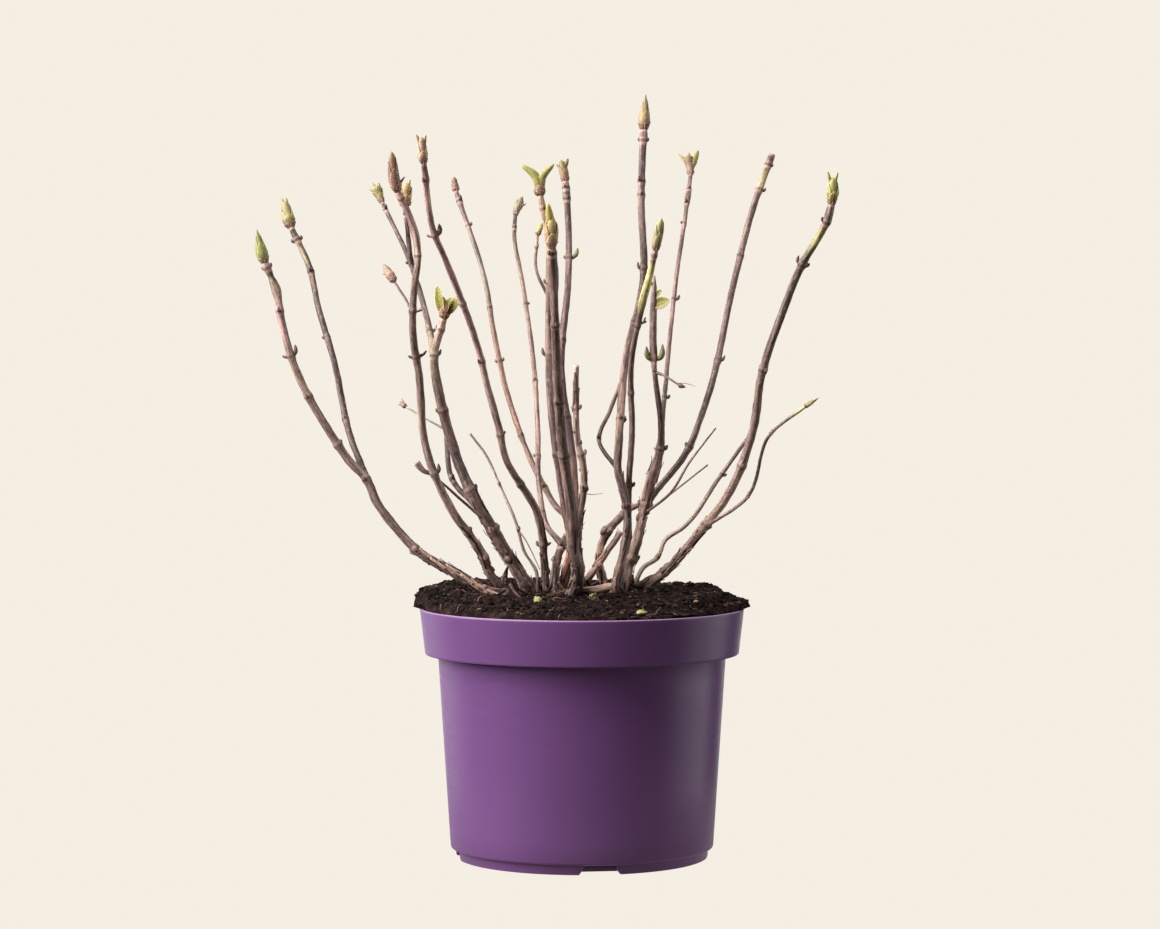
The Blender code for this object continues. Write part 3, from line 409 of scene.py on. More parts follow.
TOP_LEAF_STEP = (0.2, 0.2, 6.5)
TOP_TONES = "slate 0.7 slate 0.9 umber 1 umber"
TOP_LEAVES = ((74, 1, 12.0, 8.0), (52, 1, 7.0, 3.4), (-40, -1, 5.0, 2.4))  # lean, side, length, width

# what grows at the sides of a limb's nodes: the node's index, degrees round the limb from the right
# towards the back, kind and length
SIDE_GROWTH = {
    "stem_far_left": (
        (0, 200, "bump", 2.5), (2, 20, "bump", 2.5), (4, 180, "thorn", 3.8), (4, 0, "bud", 7.0),
        (6, 170, "bump", 2.5), (6, -10, "bump", 3.0)),
    "stem_left": (
        (0, 190, "bump", 2.5), (1, 0, "bump", 3.0), (2, 0, "bud", 6.5), (3, 185, "thorn", 3.2),
        (3, 5, "thorn", 6.0)),
    "stem_left_thick": (
        (1, 0, "bump", 3.5), (2, 190, "bump", 3.0), (3, 0, "bud", 5.0), (4, 180, "bump", 2.5)),
    "stem_front_left": (
        (0, 180, "bump", 4.0), (0, 0, "thorn", 3.4), (2, 10, "bump", 2.5), (5, 180, "thorn", 4.0),
        (5, 0, "bud", 8.5)),
    "stem_back_left": ((2, 180, "bump", 2.5), (2, 0, "bump", 3.0), (4, 0, "bump", 3.0)),
    "bough_back": ((1, 180, "bump", 2.8), (3, 0, "bump", 2.2)),
    "stem_middle": ((1, 180, "bud", 6.0), (2, 195, "bump", 3.0)),
    "stem_front": ((0, 190, "bump", 2.6),),
    "stem_back": ((1, 170, "bump", 2.4), (3, 0, "plump", 7.5), (3, 180, "bump", 2.4)),
    "stem_cut": ((1, 0, "bump", 3.8), (2, 0, "bump", 3.4), (2, 180, "bump", 2.2)),
    "stem_tall": ((2, 0, "fork", 9.0), (3, 180, "bud", 5.5), (6, 0, "bump", 2.6), (6, 180, "bump", 2.6)),
    "bough_front_right": ((0, 0, "bump", 3.6), (2, 150, "bump", 2.4)),
    "stem_right_thick": (
        (0, 0, "bud", 5.0), (1, 0, "bump", 3.6), (1, 180, "bump", 3.4), (2, 0, "bump", 4.0)),
    "bough_back_right": ((0, 0, "bump", 3.6), (1, 0, "bud", 6.0), (2, 190, "bump", 2.6)),
    "bough_right": ((0, 180, "bump", 2.8), (1, 0, "bud", 5.6), (3, 0, "bump", 3.4), (4, 0, "bump", 2.0)),
    "stem_far_right": (
        (0, 100, "bud", 6.5), (1, -20, "bump", 2.6), (4, 180, "bud", 5.6), (4, 0, "bump", 3.4),
        (5, 180, "bump", 3.0)),
    "stem_right_thin": ((1, 0, "bump", 2.8),),
    "stub_back": ((0, 180, "bump", 3.4),),
    "bough_far_left": ((1, 180, "bump", 2.4), (3, 180, "bump", 3.2), (3, 0, "bump", 3.2)),
    "bough_left": ((0, 0, "bump", 3.2), (1, 180, "bump", 2.6)),
}
# what is drawn for the other nodes: degrees round the limb, lengths of the one side's and the other's
DRAWN_SEED = 41
DRAWN_TURNS = (60, 120)
DRAWN_BUMPS = (2.0, 3.2)
DRAWN_BUDS = (2.4, 4.0)

PINK_BARK = ("stem_back_left", "bough_back", "bough_back_right", "bough_far_left", "stub_tan")

# the short dead stub: its limb, distance along it, degrees to the right of upright, length and width
SPUR = ("stem_left", 105, -72, 13.0, 4.4)
# each a path over the soil, (share of its length, radius) along it, finish and bark tone
SCRAPS = (
    ("shard", ((-56, 14, -2), (-55, 14, 12), (-52, 15, 20)), ((0, 3.2), (0.5, 2.3), (1, 0.4)), "bark_dark",
        "peat"),
    ("old_piece", ((-1, -48, 6.2), (10, -50, 7.0), (21, -53, 9.0)), ((0, 1.9), (0.5, 2.3), (1, 2.2)),
        "bark_pink", "clay"),
)
# limb, how many loose strips of bark it has, and how far up from its foot they reach
PEELING = (
    ("stem_far_left", 26, 90), ("stem_left", 12, 50), ("stem_left_thick", 22, 80),
    ("stem_front_left", 9, 40), ("stem_middle", 8, 40), ("stem_front", 14, 60), ("stem_back", 8, 50),
    ("stem_cut", 18, 150), ("stem_tall", 12, 70), ("stem_right_thick", 22, 110),
    ("stem_far_right", 16, 80), ("stub_back", 8, 50), ("stub_tan", 6, 35), ("stub_front", 6, 30),
    ("stem_back_left", 6, 40),
)
PEEL_SEED = 57
PEEL_CROWDING = 1.4  # how much more of them are near the foot
PEEL_LENGTHS = (8, 26)
PEEL_WIDTHS = (0.9, 2.4)
PEEL_LIFTS = (0.3, 1.6)
PEEL_SHADES = (0.75, 1.1)
PEEL_DRIFT = 40
PALE_FEET = ("stem_far_right", "stub_tan")
PALE_PEELS = ("tan", "clay", "fawn", "umber", "rose", "fawn")
DARK_PEELS = ("umber", "soot", "peat", "fawn", "peat", "slate", "umber")
# the pale split underside of the far left stem: distance along it, degrees round it and width
SPLIT_LIMB = "stem_far_left"
SPLIT_LENGTH = 24
SPLIT_LIFT = 0.5
SPLIT_DRIFT = 30
SPLIT_PEELS = ((6, -60, 2.6), (14, -85, 3.0), (26, -70, 2.6), (38, -95, 2.4), (48, -80, 2.0))
# knobs on a limb: distance along it, degrees round it as above, size and bark tone
KNOTS = {
    "stem_right_thick": ((56, 200, 2.6, "umber"), (62, -30, 2.8, "umber"), (70, -120, 2.2, "clay"),
        (78, 10, 2.0, "umber")),
    "stub_back": ((44, 190, 3.2, "slate"), (47, -60, 2.6, "umber"), (72, 0, 2.2, "umber")),
    "stem_cut": ((79, -60, 2.8, "slate"), (112, -20, 1.6, "slate"), (120, 200, 1.5, "slate"),
        (92, 160, 1.6, "fawn")),
    "stem_left_thick": ((54, 20, 2.6, "umber"), (30, -100, 3.0, "slate")),
    "stem_left": ((33, -60, 2.2, "umber"), (22, 30, 2.4, "slate")),
    "stem_far_left": ((74, -90, 2.4, "umber"), (18, -20, 2.6, "slate"), (34, 150, 2.2, "umber")),
    "stem_tall": ((127, 0, 2.3, "slate"),),
    "stem_front": ((20, -150, 2.4, "umber"),),
    "stem_front_left": ((16, 10, 2.2, "umber"),),
    "stem_back": ((20, -90, 2.0, "umber"),),
    "stem_far_right": ((12, -60, 2.4, "umber"), (40, 200, 1.9, "umber")),
    "stub_front": ((30, 180, 2.2, "umber"),),
    "stub_tan": ((22, 180, 1.8, "umber"),),
}
# limb, distance along it, the rest of its path from there, and width at its foot
HAIRS = (
    ("stem_left_thin", 51, ((4, -3, -5), (9, -5, -14), (15, -6, -27)), 1.2),
    ("stem_cut", 74, ((6, -5, -1), (14, -8, 0)), 0.8),
    ("twig_right_small", 24, ((6, -2, 0), (13, -3, -2)), 0.7),
    ("stem_front", 60, ((-5, -3, 4), (-9, -3, 12)), 0.9),
    ("stem_right_thin", 30, ((4, -2, 5), (5, -3, 12)), 0.9),
)
# place on the soil, length, width, and degrees to the right of upright
GREEN_BITS = ((-29, -66, 6.0, 5.4, -38), (37, -93, 7.5, 4.0, 84), (5, -52, 6.5, 4.0, 50))

TONES = {
    "plum": (136, 106, 105),
    "umber": (130, 107, 99),
    "slate": (112, 91, 84),
    "rose": (168, 134, 125),
    "clay": (188, 153, 136),
    "tan": (200, 174, 140),
    "olive": (164, 152, 99),
    "olive_dark": (122, 109, 89),
    "lime": (190, 178, 119),
    "rust": (152, 105, 84),
    "fawn": (160, 133, 119),
    "peat": (72, 55, 52),
    "soot": (92, 77, 74),
    "ash": (165, 149, 133),
    "copper": (178, 139, 119),
}
# a shoot's colour at its base, middle, tip and scale edges
TINTS = {
    "fresh": ((214, 186, 138), (178, 178, 90), (192, 190, 138), (206, 204, 150)),
    "green": ((160, 120, 96), (180, 170, 88), (198, 188, 112), (208, 200, 146)),
    "olive": ((164, 120, 102), (190, 172, 106), (192, 182, 130), (212, 192, 154)),
    "sage": ((140, 98, 76), (160, 140, 100), (178, 176, 116), (200, 198, 140)),
    "straw": ((156, 104, 80), (188, 158, 104), (160, 158, 112), (204, 186, 148)),
    "rust": ((176, 124, 110), (186, 152, 104), (176, 152, 104), (214, 180, 150)),
    "brown": ((180, 128, 112), (144, 108, 90), (156, 124, 98), (176, 146, 122)),
    "pink": ((174, 122, 118), (200, 162, 136), (186, 160, 128), (218, 192, 170)),
    "grey": ((160, 124, 114), (180, 164, 128), (170, 158, 118), (204, 190, 160)),
    "tipped": ((166, 122, 104), (176, 142, 108), (184, 176, 78), (208, 184, 140)),
    "side_dark": ((112, 82, 72), (104, 84, 66), (92, 78, 58), (150, 122, 98)),
    "side_olive": ((124, 94, 74), (128, 122, 78), (116, 112, 70), (166, 146, 104)),
    "top_olive": ((96, 78, 56), (108, 108, 62), (90, 78, 58), (136, 130, 88)),
}
# the finish of a bud whose tint has none of its own
BUD_SLOTS = {"sage": "olive", "fresh": "green", "grey": "olive", "tipped": "olive", "rust": "olive",
    "straw": "olive"}

# Studio: the camera and the lamps are in metres
CAMERA_PLACE = (-0.0014, -2.406, 0.368)
CAMERA_TILT = 2.13
LENS = 105.5
SENSOR = 36.0
CREAM = (245, 238, 227)
AIM_HEIGHT = 0.25
FLOOR_RADIUS = 330.0
FLOOR_BELOW = 0.4
FLOOR_GLOW = 0.55
FLOOR_SIDES = 96
AMBIENT = 0.11
# name, degrees to the right of the front, degrees above, distance, width and height, power
LAMPS = (
    ("key", -74, 24, 2.2, (2.0, 1.4), 120),
    ("left_back", -128, 8, 2.2, (1.6, 2.0), 10),
    ("back", 180, 6, 1.8, (2.0, 1.4), 8),
    ("right_back", 101, 8, 2.2, (1.8, 2.0), 25),
    ("overhead", -42, 58, 2.0, (0.8, 0.7), 46),
    ("top_back", 180, 55, 2.2, (2.0, 0.8), 16),
)


# Small sums


def colour(screen):
    """A screen colour, from 0 to 255, as Blender's linear one."""
    shares = [value / 255 for value in screen]
    return tuple(s / 12.92 if s <= 0.04045 else ((s + 0.055) / 1.055) ** 2.4 for s in shares)


def tinted(screen):
    return np.array(colour(screen))


TONE_COLOURS = {name: tinted(screen) for name, screen in TONES.items()}
TINT_COLOURS = {name: [tinted(screen) for screen in stops] for name, stops in TINTS.items()}


def mixed(first, second, share):
    """What lies a share of the way from the first number or colour to the second."""
    return first * (1 - share) + second * share


def clipped(value):
    return min(1.0, max(0.0, value))


def eased(value):
    """A value from 0 to 1, slow at both ends."""
    t = clipped(value)
    return t * t * (3 - 2 * t)


def bell(off):
    """A bump that is 1 at 0 and fades away on both sides."""
    return math.exp(-off * off)


def ring(distance, middle, half):
    """A bump round a middle, half so wide."""
    return bell((distance - middle) / half)


def even(count):
    """Shares from 0 to 1 in so many even steps."""
    return [i / count for i in range(count + 1)]


def circle(count):
    """The cosine and sine of so many even turns."""
    return [(math.cos(FULL_TURN * i / count), math.sin(FULL_TURN * i / count)) for i in range(count)]


def lumpy(x, y, layers):
    """A sum of noises over a plane, each layer of its own height, fineness and seed."""
    return sum(high * noise.noise(Vector((x * fine, y * fine, seed))) for high, fine, seed in layers)


def heading(turn):
    """A level direction, so far round from the right towards the back."""
    return Vector((math.cos(turn), math.sin(turn), 0))


def profile_at(profile, share):
    """The value at a share of the way through (share, value) stops."""
    shares, values = zip(*profile)
    return float(np.interp(share, shares, values))


def toned(text):
    """(share, tone) stops from a text such as "peat 0.1 soot 1 umber", whose first tone is at 0."""
    words = ("0 " + text).split()
    return [(float(share), tone) for share, tone in zip(words[::2], words[1::2])]


def tone_at(stops, share):
    """The colour at a share of the way through (share, tone) stops."""
    for (low, first), (high, second) in zip(stops, stops[1:]):
        if share <= high:
            return mixed(TONE_COLOURS[first], TONE_COLOURS[second], (share - low) / (high - low))
    return TONE_COLOURS[stops[-1][1]]


# Meshes


def add_object(name, data):
    obj = bpy.data.objects.new(name, data)
    bpy.context.scene.collection.objects.link(obj)
    return obj


def add_mesh(name, points, faces):
    """A new mesh from points in millimetres."""
    mesh = bpy.data.meshes.new(name)
    mesh.from_pydata((np.array(points) * MM).tolist(), [], faces)
    mesh.update()
    return mesh


class Shape:
    """Collects vertices, faces and colours, in millimetres, for one piece."""

    def __init__(self):
        self.points = []
        self.faces = []
        self.tints = []
        self.extras = {}

    def add(self, points, faces, tint, **extras):
        """Adds a part. tint is one colour, or one for each of its points, and so is each extra."""
        start = len(self.points)
        self.points.extend(tuple(p) for p in points)
        self.faces.extend(tuple(start + i for i in face) for face in faces)
        tint = np.clip(np.asarray(tint, float), 0, 1)
        self.tints.extend(np.broadcast_to(tint, (len(points), 3)))
        for key, values in extras.items():
            self.extras.setdefault(key, []).extend(values)

    def build(self, name, material, smooth=True):
        mesh = add_mesh(name, self.points, self.faces)
        tint = mesh.color_attributes.new("tint", "FLOAT_COLOR", "POINT")
        rgba = np.ones((len(self.points), 4))
        rgba[:, :3] = np.array(self.tints)
        tint.data.foreach_set("color", rgba.ravel())
        for key, values in self.extras.items():
            values = np.array(values, float)
            kind, field = ("FLOAT", "value") if values.ndim == 1 else ("FLOAT_VECTOR", "vector")
            mesh.attributes.new(key, kind, "POINT").data.foreach_set(field, values.ravel())
        mesh.materials.append(material)
        if smooth:
            mesh.shade_smooth()
        mesh.update()
        return add_object(name, mesh)


def place(obj, slot, *nodes):
    """Sets a piece on the one body and hides the nodes it stands for. Its slot is not used."""
    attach(obj, "root")
    if nodes:
        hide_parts(*nodes)


def ring_faces(rings, count, capped=True):
    """Faces of a tube of so many rings, each of count points."""
    faces = []
    for low in range(0, (rings - 1) * count, count):
        for i in range(count):
            j = (i + 1) % count
            faces.append((low + i, low + j, low + count + j, low + count + i))
    if capped:
        faces.append(tuple(reversed(range(count))))
        faces.append(tuple((rings - 1) * count + i for i in range(count)))
    return faces


def sheet_faces(rows, cols):
    """Faces of a sheet of rows by cols quads with a front and a back, closed along its border."""
    width = cols + 1
    total = (rows + 1) * width
    faces = []
    for i in range(rows):
        for j in range(cols):
            a = i * width + j
            faces.append((a, a + 1, a + 1 + width, a + width))
            faces.append((total + a, total + a + width, total + a + 1 + width, total + a + 1))
    border = list(range(width))
    border += [i * width + cols for i in range(1, rows + 1)]
    border += [rows * width + j for j in range(cols - 1, -1, -1)]
    border += [i * width for i in range(rows - 1, 0, -1)]
    for a, b in zip(border, border[1:] + border[:1]):
        faces.append((b, a, total + a, total + b))
    return faces


def add_sheet(shape, rows, cols, outer, inner, tints, outer_shade=1.0, inner_shade=1.0):
    tints = np.clip(np.array(tints), 0, 1)
    both = np.concatenate([tints * outer_shade, tints * inner_shade])
    shape.add(outer + inner, sheet_faces(rows, cols), both)


# Curves


def smooth_curve(points, step):
    """Points about a step apart on a smooth curve through the given ones."""
    spans = [b - a for a, b in zip(points, points[1:])]
    slopes = [span.normalized() for span in spans]
    tangents = [slopes[0]]
    for before, after, i in zip(spans, spans[1:], range(1, len(spans))):
        blend = before.length / (before.length + after.length)
        tangents.append(slopes[i - 1].lerp(slopes[i], blend))
    tangents.append(slopes[-1])
    curve = []
    for i, span in enumerate(spans):
        count = max(2, round(span.length / step))
        for u in even(count)[:-1]:
            start_weight = (1 + 2 * u) * (1 - u) ** 2
            out_weight = u * (1 - u) ** 2 * span.length
            in_weight = u * u * (u - 1) * span.length
            spot = points[i] * start_weight + tangents[i] * out_weight
            curve.append(spot + points[i + 1] * (1 - start_weight) + tangents[i + 1] * in_weight)
    curve.append(points[-1].copy())
    return curve


def distances(curve):
    """How far along it each point of a curve lies."""
    found = [0.0]
    for a, b in zip(curve, curve[1:]):
        found.append(found[-1] + (b - a).length)
    return found


def point_at(curve, along, distance):
    """The place and direction at a distance along a curve."""
    for i in range(1, len(curve)):
        if along[i] >= distance or i == len(curve) - 1:
            share = (distance - along[i - 1]) / (along[i] - along[i - 1])
            return curve[i - 1].lerp(curve[i], share), (curve[i] - curve[i - 1]).normalized()


def across(direction):
    """A direction square to the given one, as near sideways as can be."""
    return (Vector((1, 0, 0)) - direction * direction.x).normalized()


def squared(side, direction):
    """The side turned square to the direction, and a third one square to both."""
    side = (side - direction * side.dot(direction)).normalized()
    return side, direction.cross(side)


def frames(curve, shares):
    """The place at each share of the way along a curve, and two directions square to it there."""
    along = distances(curve)
    side = across((curve[1] - curve[0]).normalized())
    for share in shares:
        centre, direction = point_at(curve, along, along[-1] * share)
        side, other = squared(side, direction)
        yield centre, side, other


def nearest(curve, x, z):
    """The point of a curve that lies nearest to (x, z) as seen from the front."""
    return min(curve, key=lambda p: (p.x - x) ** 2 + (p.z - z) ** 2)


def limb_curve(name, curves):
    """The limb's centre line. A rooted limb's starts under the soil, and a bough's on its parent's."""
    limb = LIMBS[name]
    path = [Vector((x, 0, z)) for x, z in limb.path]
    first_depth, last_depth = limb.depths
    if limb.parent:
        fork = nearest(curves[limb.parent], *limb.path[0])
        path[0] = Vector((fork.x, 0, fork.z))
        first_depth = fork.y
    draw = random.Random(name + " depth")
    power = draw.uniform(*DEPTH_POWERS)
    start, turns = draw.uniform(0, FULL_TURN), draw.uniform(*WAVE_TURNS)
    curve = smooth_curve(path, CURVE_STEP)
    along = distances(curve)
    for point, distance in zip(curve, along):
        share = distance / along[-1]
        wave = math.sin(start + FULL_TURN * turns * share) * math.sin(math.pi * share)
        lean = (last_depth - first_depth) * share**power
        point.y = first_depth + lean + wave * WAVE_SHARE * along[-1]
    if limb.parent:
        return curve
    down = ((curve[0] - curve[1]).normalized() - UP).normalized()
    return [curve[0] + down * BURIED * share for share in (1, 0.75, 0.5, 0.25)] + curve


def limb_radius(limb, length):
    """The limb's radius by distance: a taper, a flared foot or fork, and a swelling at each node."""
    low, high = (width / 2 for width in limb.widths)
    fork_radius = LIMBS[limb.parent].widths[0] / 2 if limb.parent else 0.0
    swells = [*limb.swells, *((node, NODE_HALF, NODE_SWELL) for node in limb.nodes)]

    def radius(distance):
        grown = max(0.0, distance - limb.buried)
        value = mixed(low, high, grown / (length - limb.buried))
        if limb.parent:
            value *= 1 + FORK_SWELL * ring(distance, fork_radius, FORK_HALF)
        else:
            value *= 1 + FOOT_FLARE * math.exp(-grown / FLARE_LENGTH)
        for centre, half, extra in swells:
            value *= 1 + extra * ring(grown, centre, half)
        return value

    return radius


def fine_tube(shape, curve, radius_at, count, colour_at, relief_at, seed, marks=None, step=RING_STEP):
    """Adds a closed tube with a bark's relief: lumps, lengthwise ridges and warts.

    marks(distance) gives how pale and how dark the bark is there.
    """
    length = distances(curve)[-1]
    total = max(4, math.ceil(length / step))
    points, tints, grain, pale, dark = [], [], [], [], []
    for share, (centre, side, other) in zip(even(total), frames(curve, even(total))):
        distance = length * share
        base, relief, tone = radius_at(distance), relief_at(distance), colour_at(distance)
        pale_here, dark_here = marks(distance) if marks else (0.0, 0.0)
        blotch = noise.noise(Vector((seed, 0.0, distance * BLOTCH[0])))
        for c, s in circle(count):
            lump = noise.noise(Vector((c * LUMP[0], s * LUMP[0] + seed, distance * LUMP[1])))
            ridge = noise.noise(Vector((c * RIDGE[0] + seed, s * RIDGE[0], distance * RIDGE[1])))
            wart = noise.noise(Vector((c * WART[0], s * WART[0] + seed, distance * WART[1])))
            radius = base * (1 + relief * (LUMP[2] * lump + RIDGE[2] * ridge + WART[2] * wart))
            points.append(centre + (side * c + other * s) * radius)
            tints.append(tone * (1 + BLOTCH[1] * blotch + RIDGE[3] * ridge + LUMP[3] * lump))
            grain.append((c * base + seed, s * base, distance))
            pale.append(pale_here)
            dark.append(dark_here)
    shape.add(points, ring_faces(total + 1, count), tints, grain=grain, pale=pale, dark=dark)


def strand(shape, line, widths, tint, count=4):
    """A thin closed tube along a line."""
    curve = smooth_curve(line, 1.5)
    along = distances(curve)
    side = across((curve[1] - curve[0]).normalized())
    points = []
    for k, centre in enumerate(curve):
        ahead = curve[min(k + 1, len(curve) - 1)] - curve[max(k - 1, 0)]
        side, other = squared(side, ahead.normalized())
        radius = mixed(*widths, along[k] / along[-1]) / 2
        points += [centre + (side * c + other * s) * radius for c, s in circle(count)]
    shape.add(points, ring_faces(len(curve), count), tint)


# Materials


class Nodes:
    """A material's node tree, with short calls to add and link nodes."""

    def __init__(self, name):
        self.material = bpy.data.materials.new(name)
        self.material.use_nodes = True
        self.tree = self.material.node_tree
        self.shader = self.tree.nodes["Principled BSDF"]

    def add(self, kind, settings=None, **inputs):
        node = self.tree.nodes.new("ShaderNode" + kind)
        for key, value in (settings or {}).items():
            setattr(node, key, value)
        for key, value in inputs.items():
            self.put(node, key.replace("_", " "), value)
        return node

    def put(self, node, key, value):
        """Sets an input to a value, or links it to a node's first output or to the given output."""
        socket = node.inputs[key]
        if isinstance(value, bpy.types.Node):
            self.tree.links.new(value.outputs[0], socket)
        elif isinstance(value, bpy.types.NodeSocket):
            self.tree.links.new(value, socket)
        else:
            socket.default_value = value

    def where(self):
        """The place on the piece, in metres."""
        return self.add("TexCoord").outputs["Object"]

    def attribute(self, name, output):
        return self.add("Attribute", {"attribute_name": name}).outputs[output]

    def noise(self, place, scale, detail=3.0, roughness=0.55):
        return self.add("TexNoise", None, Vector=place, Scale=scale, Detail=detail, Roughness=roughness)

    def stretched(self, place, scale):
        """The place scaled unevenly, for streaks."""
        return self.add("Mapping", {"vector_type": "POINT"}, Vector=place, Scale=scale)

    def ramp(self, factor, *stops):
        """A colour ramp. Each stop is (position, value or colour)."""
        node = self.add("ValToRGB", None, Fac=factor)
        elements = node.color_ramp.elements
        while len(elements) < len(stops):
            elements.new(0.5)
        for element, (position, value) in zip(elements, stops):
            element.position = position
            rgb = value if isinstance(value, tuple) else (value, value, value)
            element.color = (*rgb, 1.0)
        return node

    def mix(self, factor, first, second, mode="MIX"):
        node = self.add("Mix", {"data_type": "RGBA", "blend_type": mode})
        for key, value in ((0, factor), (6, first), (7, second)):
            self.put(node, key, (*value, 1.0) if isinstance(value, tuple) else value)
        return node.outputs[2]

    def faded(self, share, mask):
        """The mask, no stronger than a share."""
        return self.mix(share, (0, 0, 0), mask)

    def finish(self, base, roughness, **constants):
        self.put(self.shader, "Base Color", base)
        self.put(self.shader, "Roughness", roughness)
        for key, value in constants.items():
            self.put(self.shader, key.replace("_", " "), value)
        return self.material

    def bump(self, height, strength, distance):
        node = self.add("Bump", None, Height=height, Strength=strength, Distance=distance)
        self.put(self.shader, "Normal", node)


def plastic_material():
    """Moulded purple plastic: a soft gloss, with a faint cloudiness, scuffs and a painted highlight along
    the rim's top edge.
    """
    n = Nodes("pot_plastic")
    where = n.where()
    tone = n.ramp(n.noise(where, 9.0, 2.0), (0.3, colour((88, 55, 99))), (0.7, colour((94, 60, 105))))
    scuffs = n.noise(n.stretched(where, (40, 40, 260)), 1.0, 4.0)
    scuffed = n.ramp(scuffs, (0.62, 0.0), (0.80, 1.0))
    base = n.mix(n.faded(0.06, scuffed), tone, colour((126, 96, 142)))
    height = n.add("SeparateXYZ", None, Vector=where).outputs["Z"]
    # painted highlight: the rim's rounded top edge is painted paler by its height
    rim = n.add("MapRange", None, Value=height, From_Min=PAINTED_RIM_HIGHLIGHT[0], From_Max=PAINTED_RIM_HIGHLIGHT[1])
    base = n.mix(n.ramp(rim, (0.3, 0.0), (0.62, 0.33)), base, colour((196, 164, 190)))
    gloss = n.ramp(scuffs, (0.35, 0.32), (0.75, 0.40))
    n.bump(n.noise(where, 420.0, 2.0), 0.08, 0.0004)
    return n.finish(base, gloss, Specular_IOR_Level=0.24)


def bark_material():
    """Bark in the piece's own tones, with lengthwise streaks, lenticels, and pale and dark node rings."""
    n = Nodes("bark")
    grain = n.attribute("grain", "Vector")
    tint = n.attribute("tint", "Color")
    streak = n.noise(n.stretched(grain, (0.55, 0.55, 0.035)), 1.0, 4.0, 0.6)
    base = n.mix(1.0, tint, n.ramp(streak, (0.38, 0.45), (0.5, 0.95), (0.64, 1.6)), "MULTIPLY")
    fleck = n.noise(n.stretched(grain, (0.7, 0.7, 0.25)), 1.0, 2.0)
    specks = n.ramp(fleck, (0.57, 0.0), (0.66, 1.0))
    base = n.mix(n.faded(0.3, specks), base, n.mix(0.6, tint, colour((226, 184, 160))))
    pits = n.ramp(fleck, (0.32, 1.0), (0.42, 0.0))
    base = n.mix(n.faded(0.5, pits), base, colour((44, 30, 30)))
    base = n.mix(n.attribute("pale", "Fac"), base, colour((214, 172, 154)))
    base = n.mix(n.attribute("dark", "Fac"), base, colour((56, 34, 38)))
    rough = n.ramp(streak, (0.3, 0.66), (0.7, 0.45))
    n.bump(n.mix(0.4, streak, fleck), 0.16, 0.0005)
    return n.finish(base, rough, Specular_IOR_Level=0.24)


def bud_material():
    """Bud scales and young leaves in their own tints, which let light through, with a faint grain."""
    n = Nodes("bud_skin")
    where = n.where()
    tint = n.attribute("tint", "Color")
    grain = n.noise(n.stretched(where, (700, 700, 220)), 1.0, 2.0)
    base = n.mix(1.0, tint, n.ramp(grain, (0.3, 0.93), (0.7, 1.05)), "MULTIPLY")
    return n.finish(base, 0.5, Subsurface_Weight=0.35, Subsurface_Radius=(1.0, 0.9, 0.4),
        Subsurface_Scale=0.0015, Specular_IOR_Level=0.4)


def soil_material():
    """Dark moist peat with brown crumbs."""
    n = Nodes("peat")
    where = n.where()
    lumps = n.noise(where, 160.0, 5.0, 0.65)
    base = n.ramp(lumps, (0.30, colour((12, 9, 9))), (0.5, colour((30, 21, 20))),
        (0.68, colour((60, 44, 39))), (0.8, colour((102, 79, 67))))
    fine = n.noise(where, 900.0, 4.0, 0.7)
    base = n.mix(1.0, base, n.ramp(fine, (0.3, 0.6), (0.7, 1.35)), "MULTIPLY")
    n.bump(fine, 0.9, 0.0012)
    return n.finish(base, 0.95, Specular_IOR_Level=0.04)


def crumb_material():
    """Crumbs, fibres and loose bark in their own tints, with a little unevenness."""
    n = Nodes("crumb")
    where = n.where()
    tint = n.attribute("tint", "Color")
    grit = n.noise(where, 700.0, 3.0, 0.65)
    base = n.mix(1.0, tint, n.ramp(grit, (0.3, 0.65), (0.7, 1.3)), "MULTIPLY")
    n.bump(grit, 0.5, 0.0006)
    return n.finish(base, 0.9, Specular_IOR_Level=0.06)


# Pot


def steps_between(first, second, count):
    """The ends of so many even steps from one (radius, height) to another."""
    return [tuple(mixed(a, b, share) for a, b in zip(first, second)) for share in even(count)[1:]]


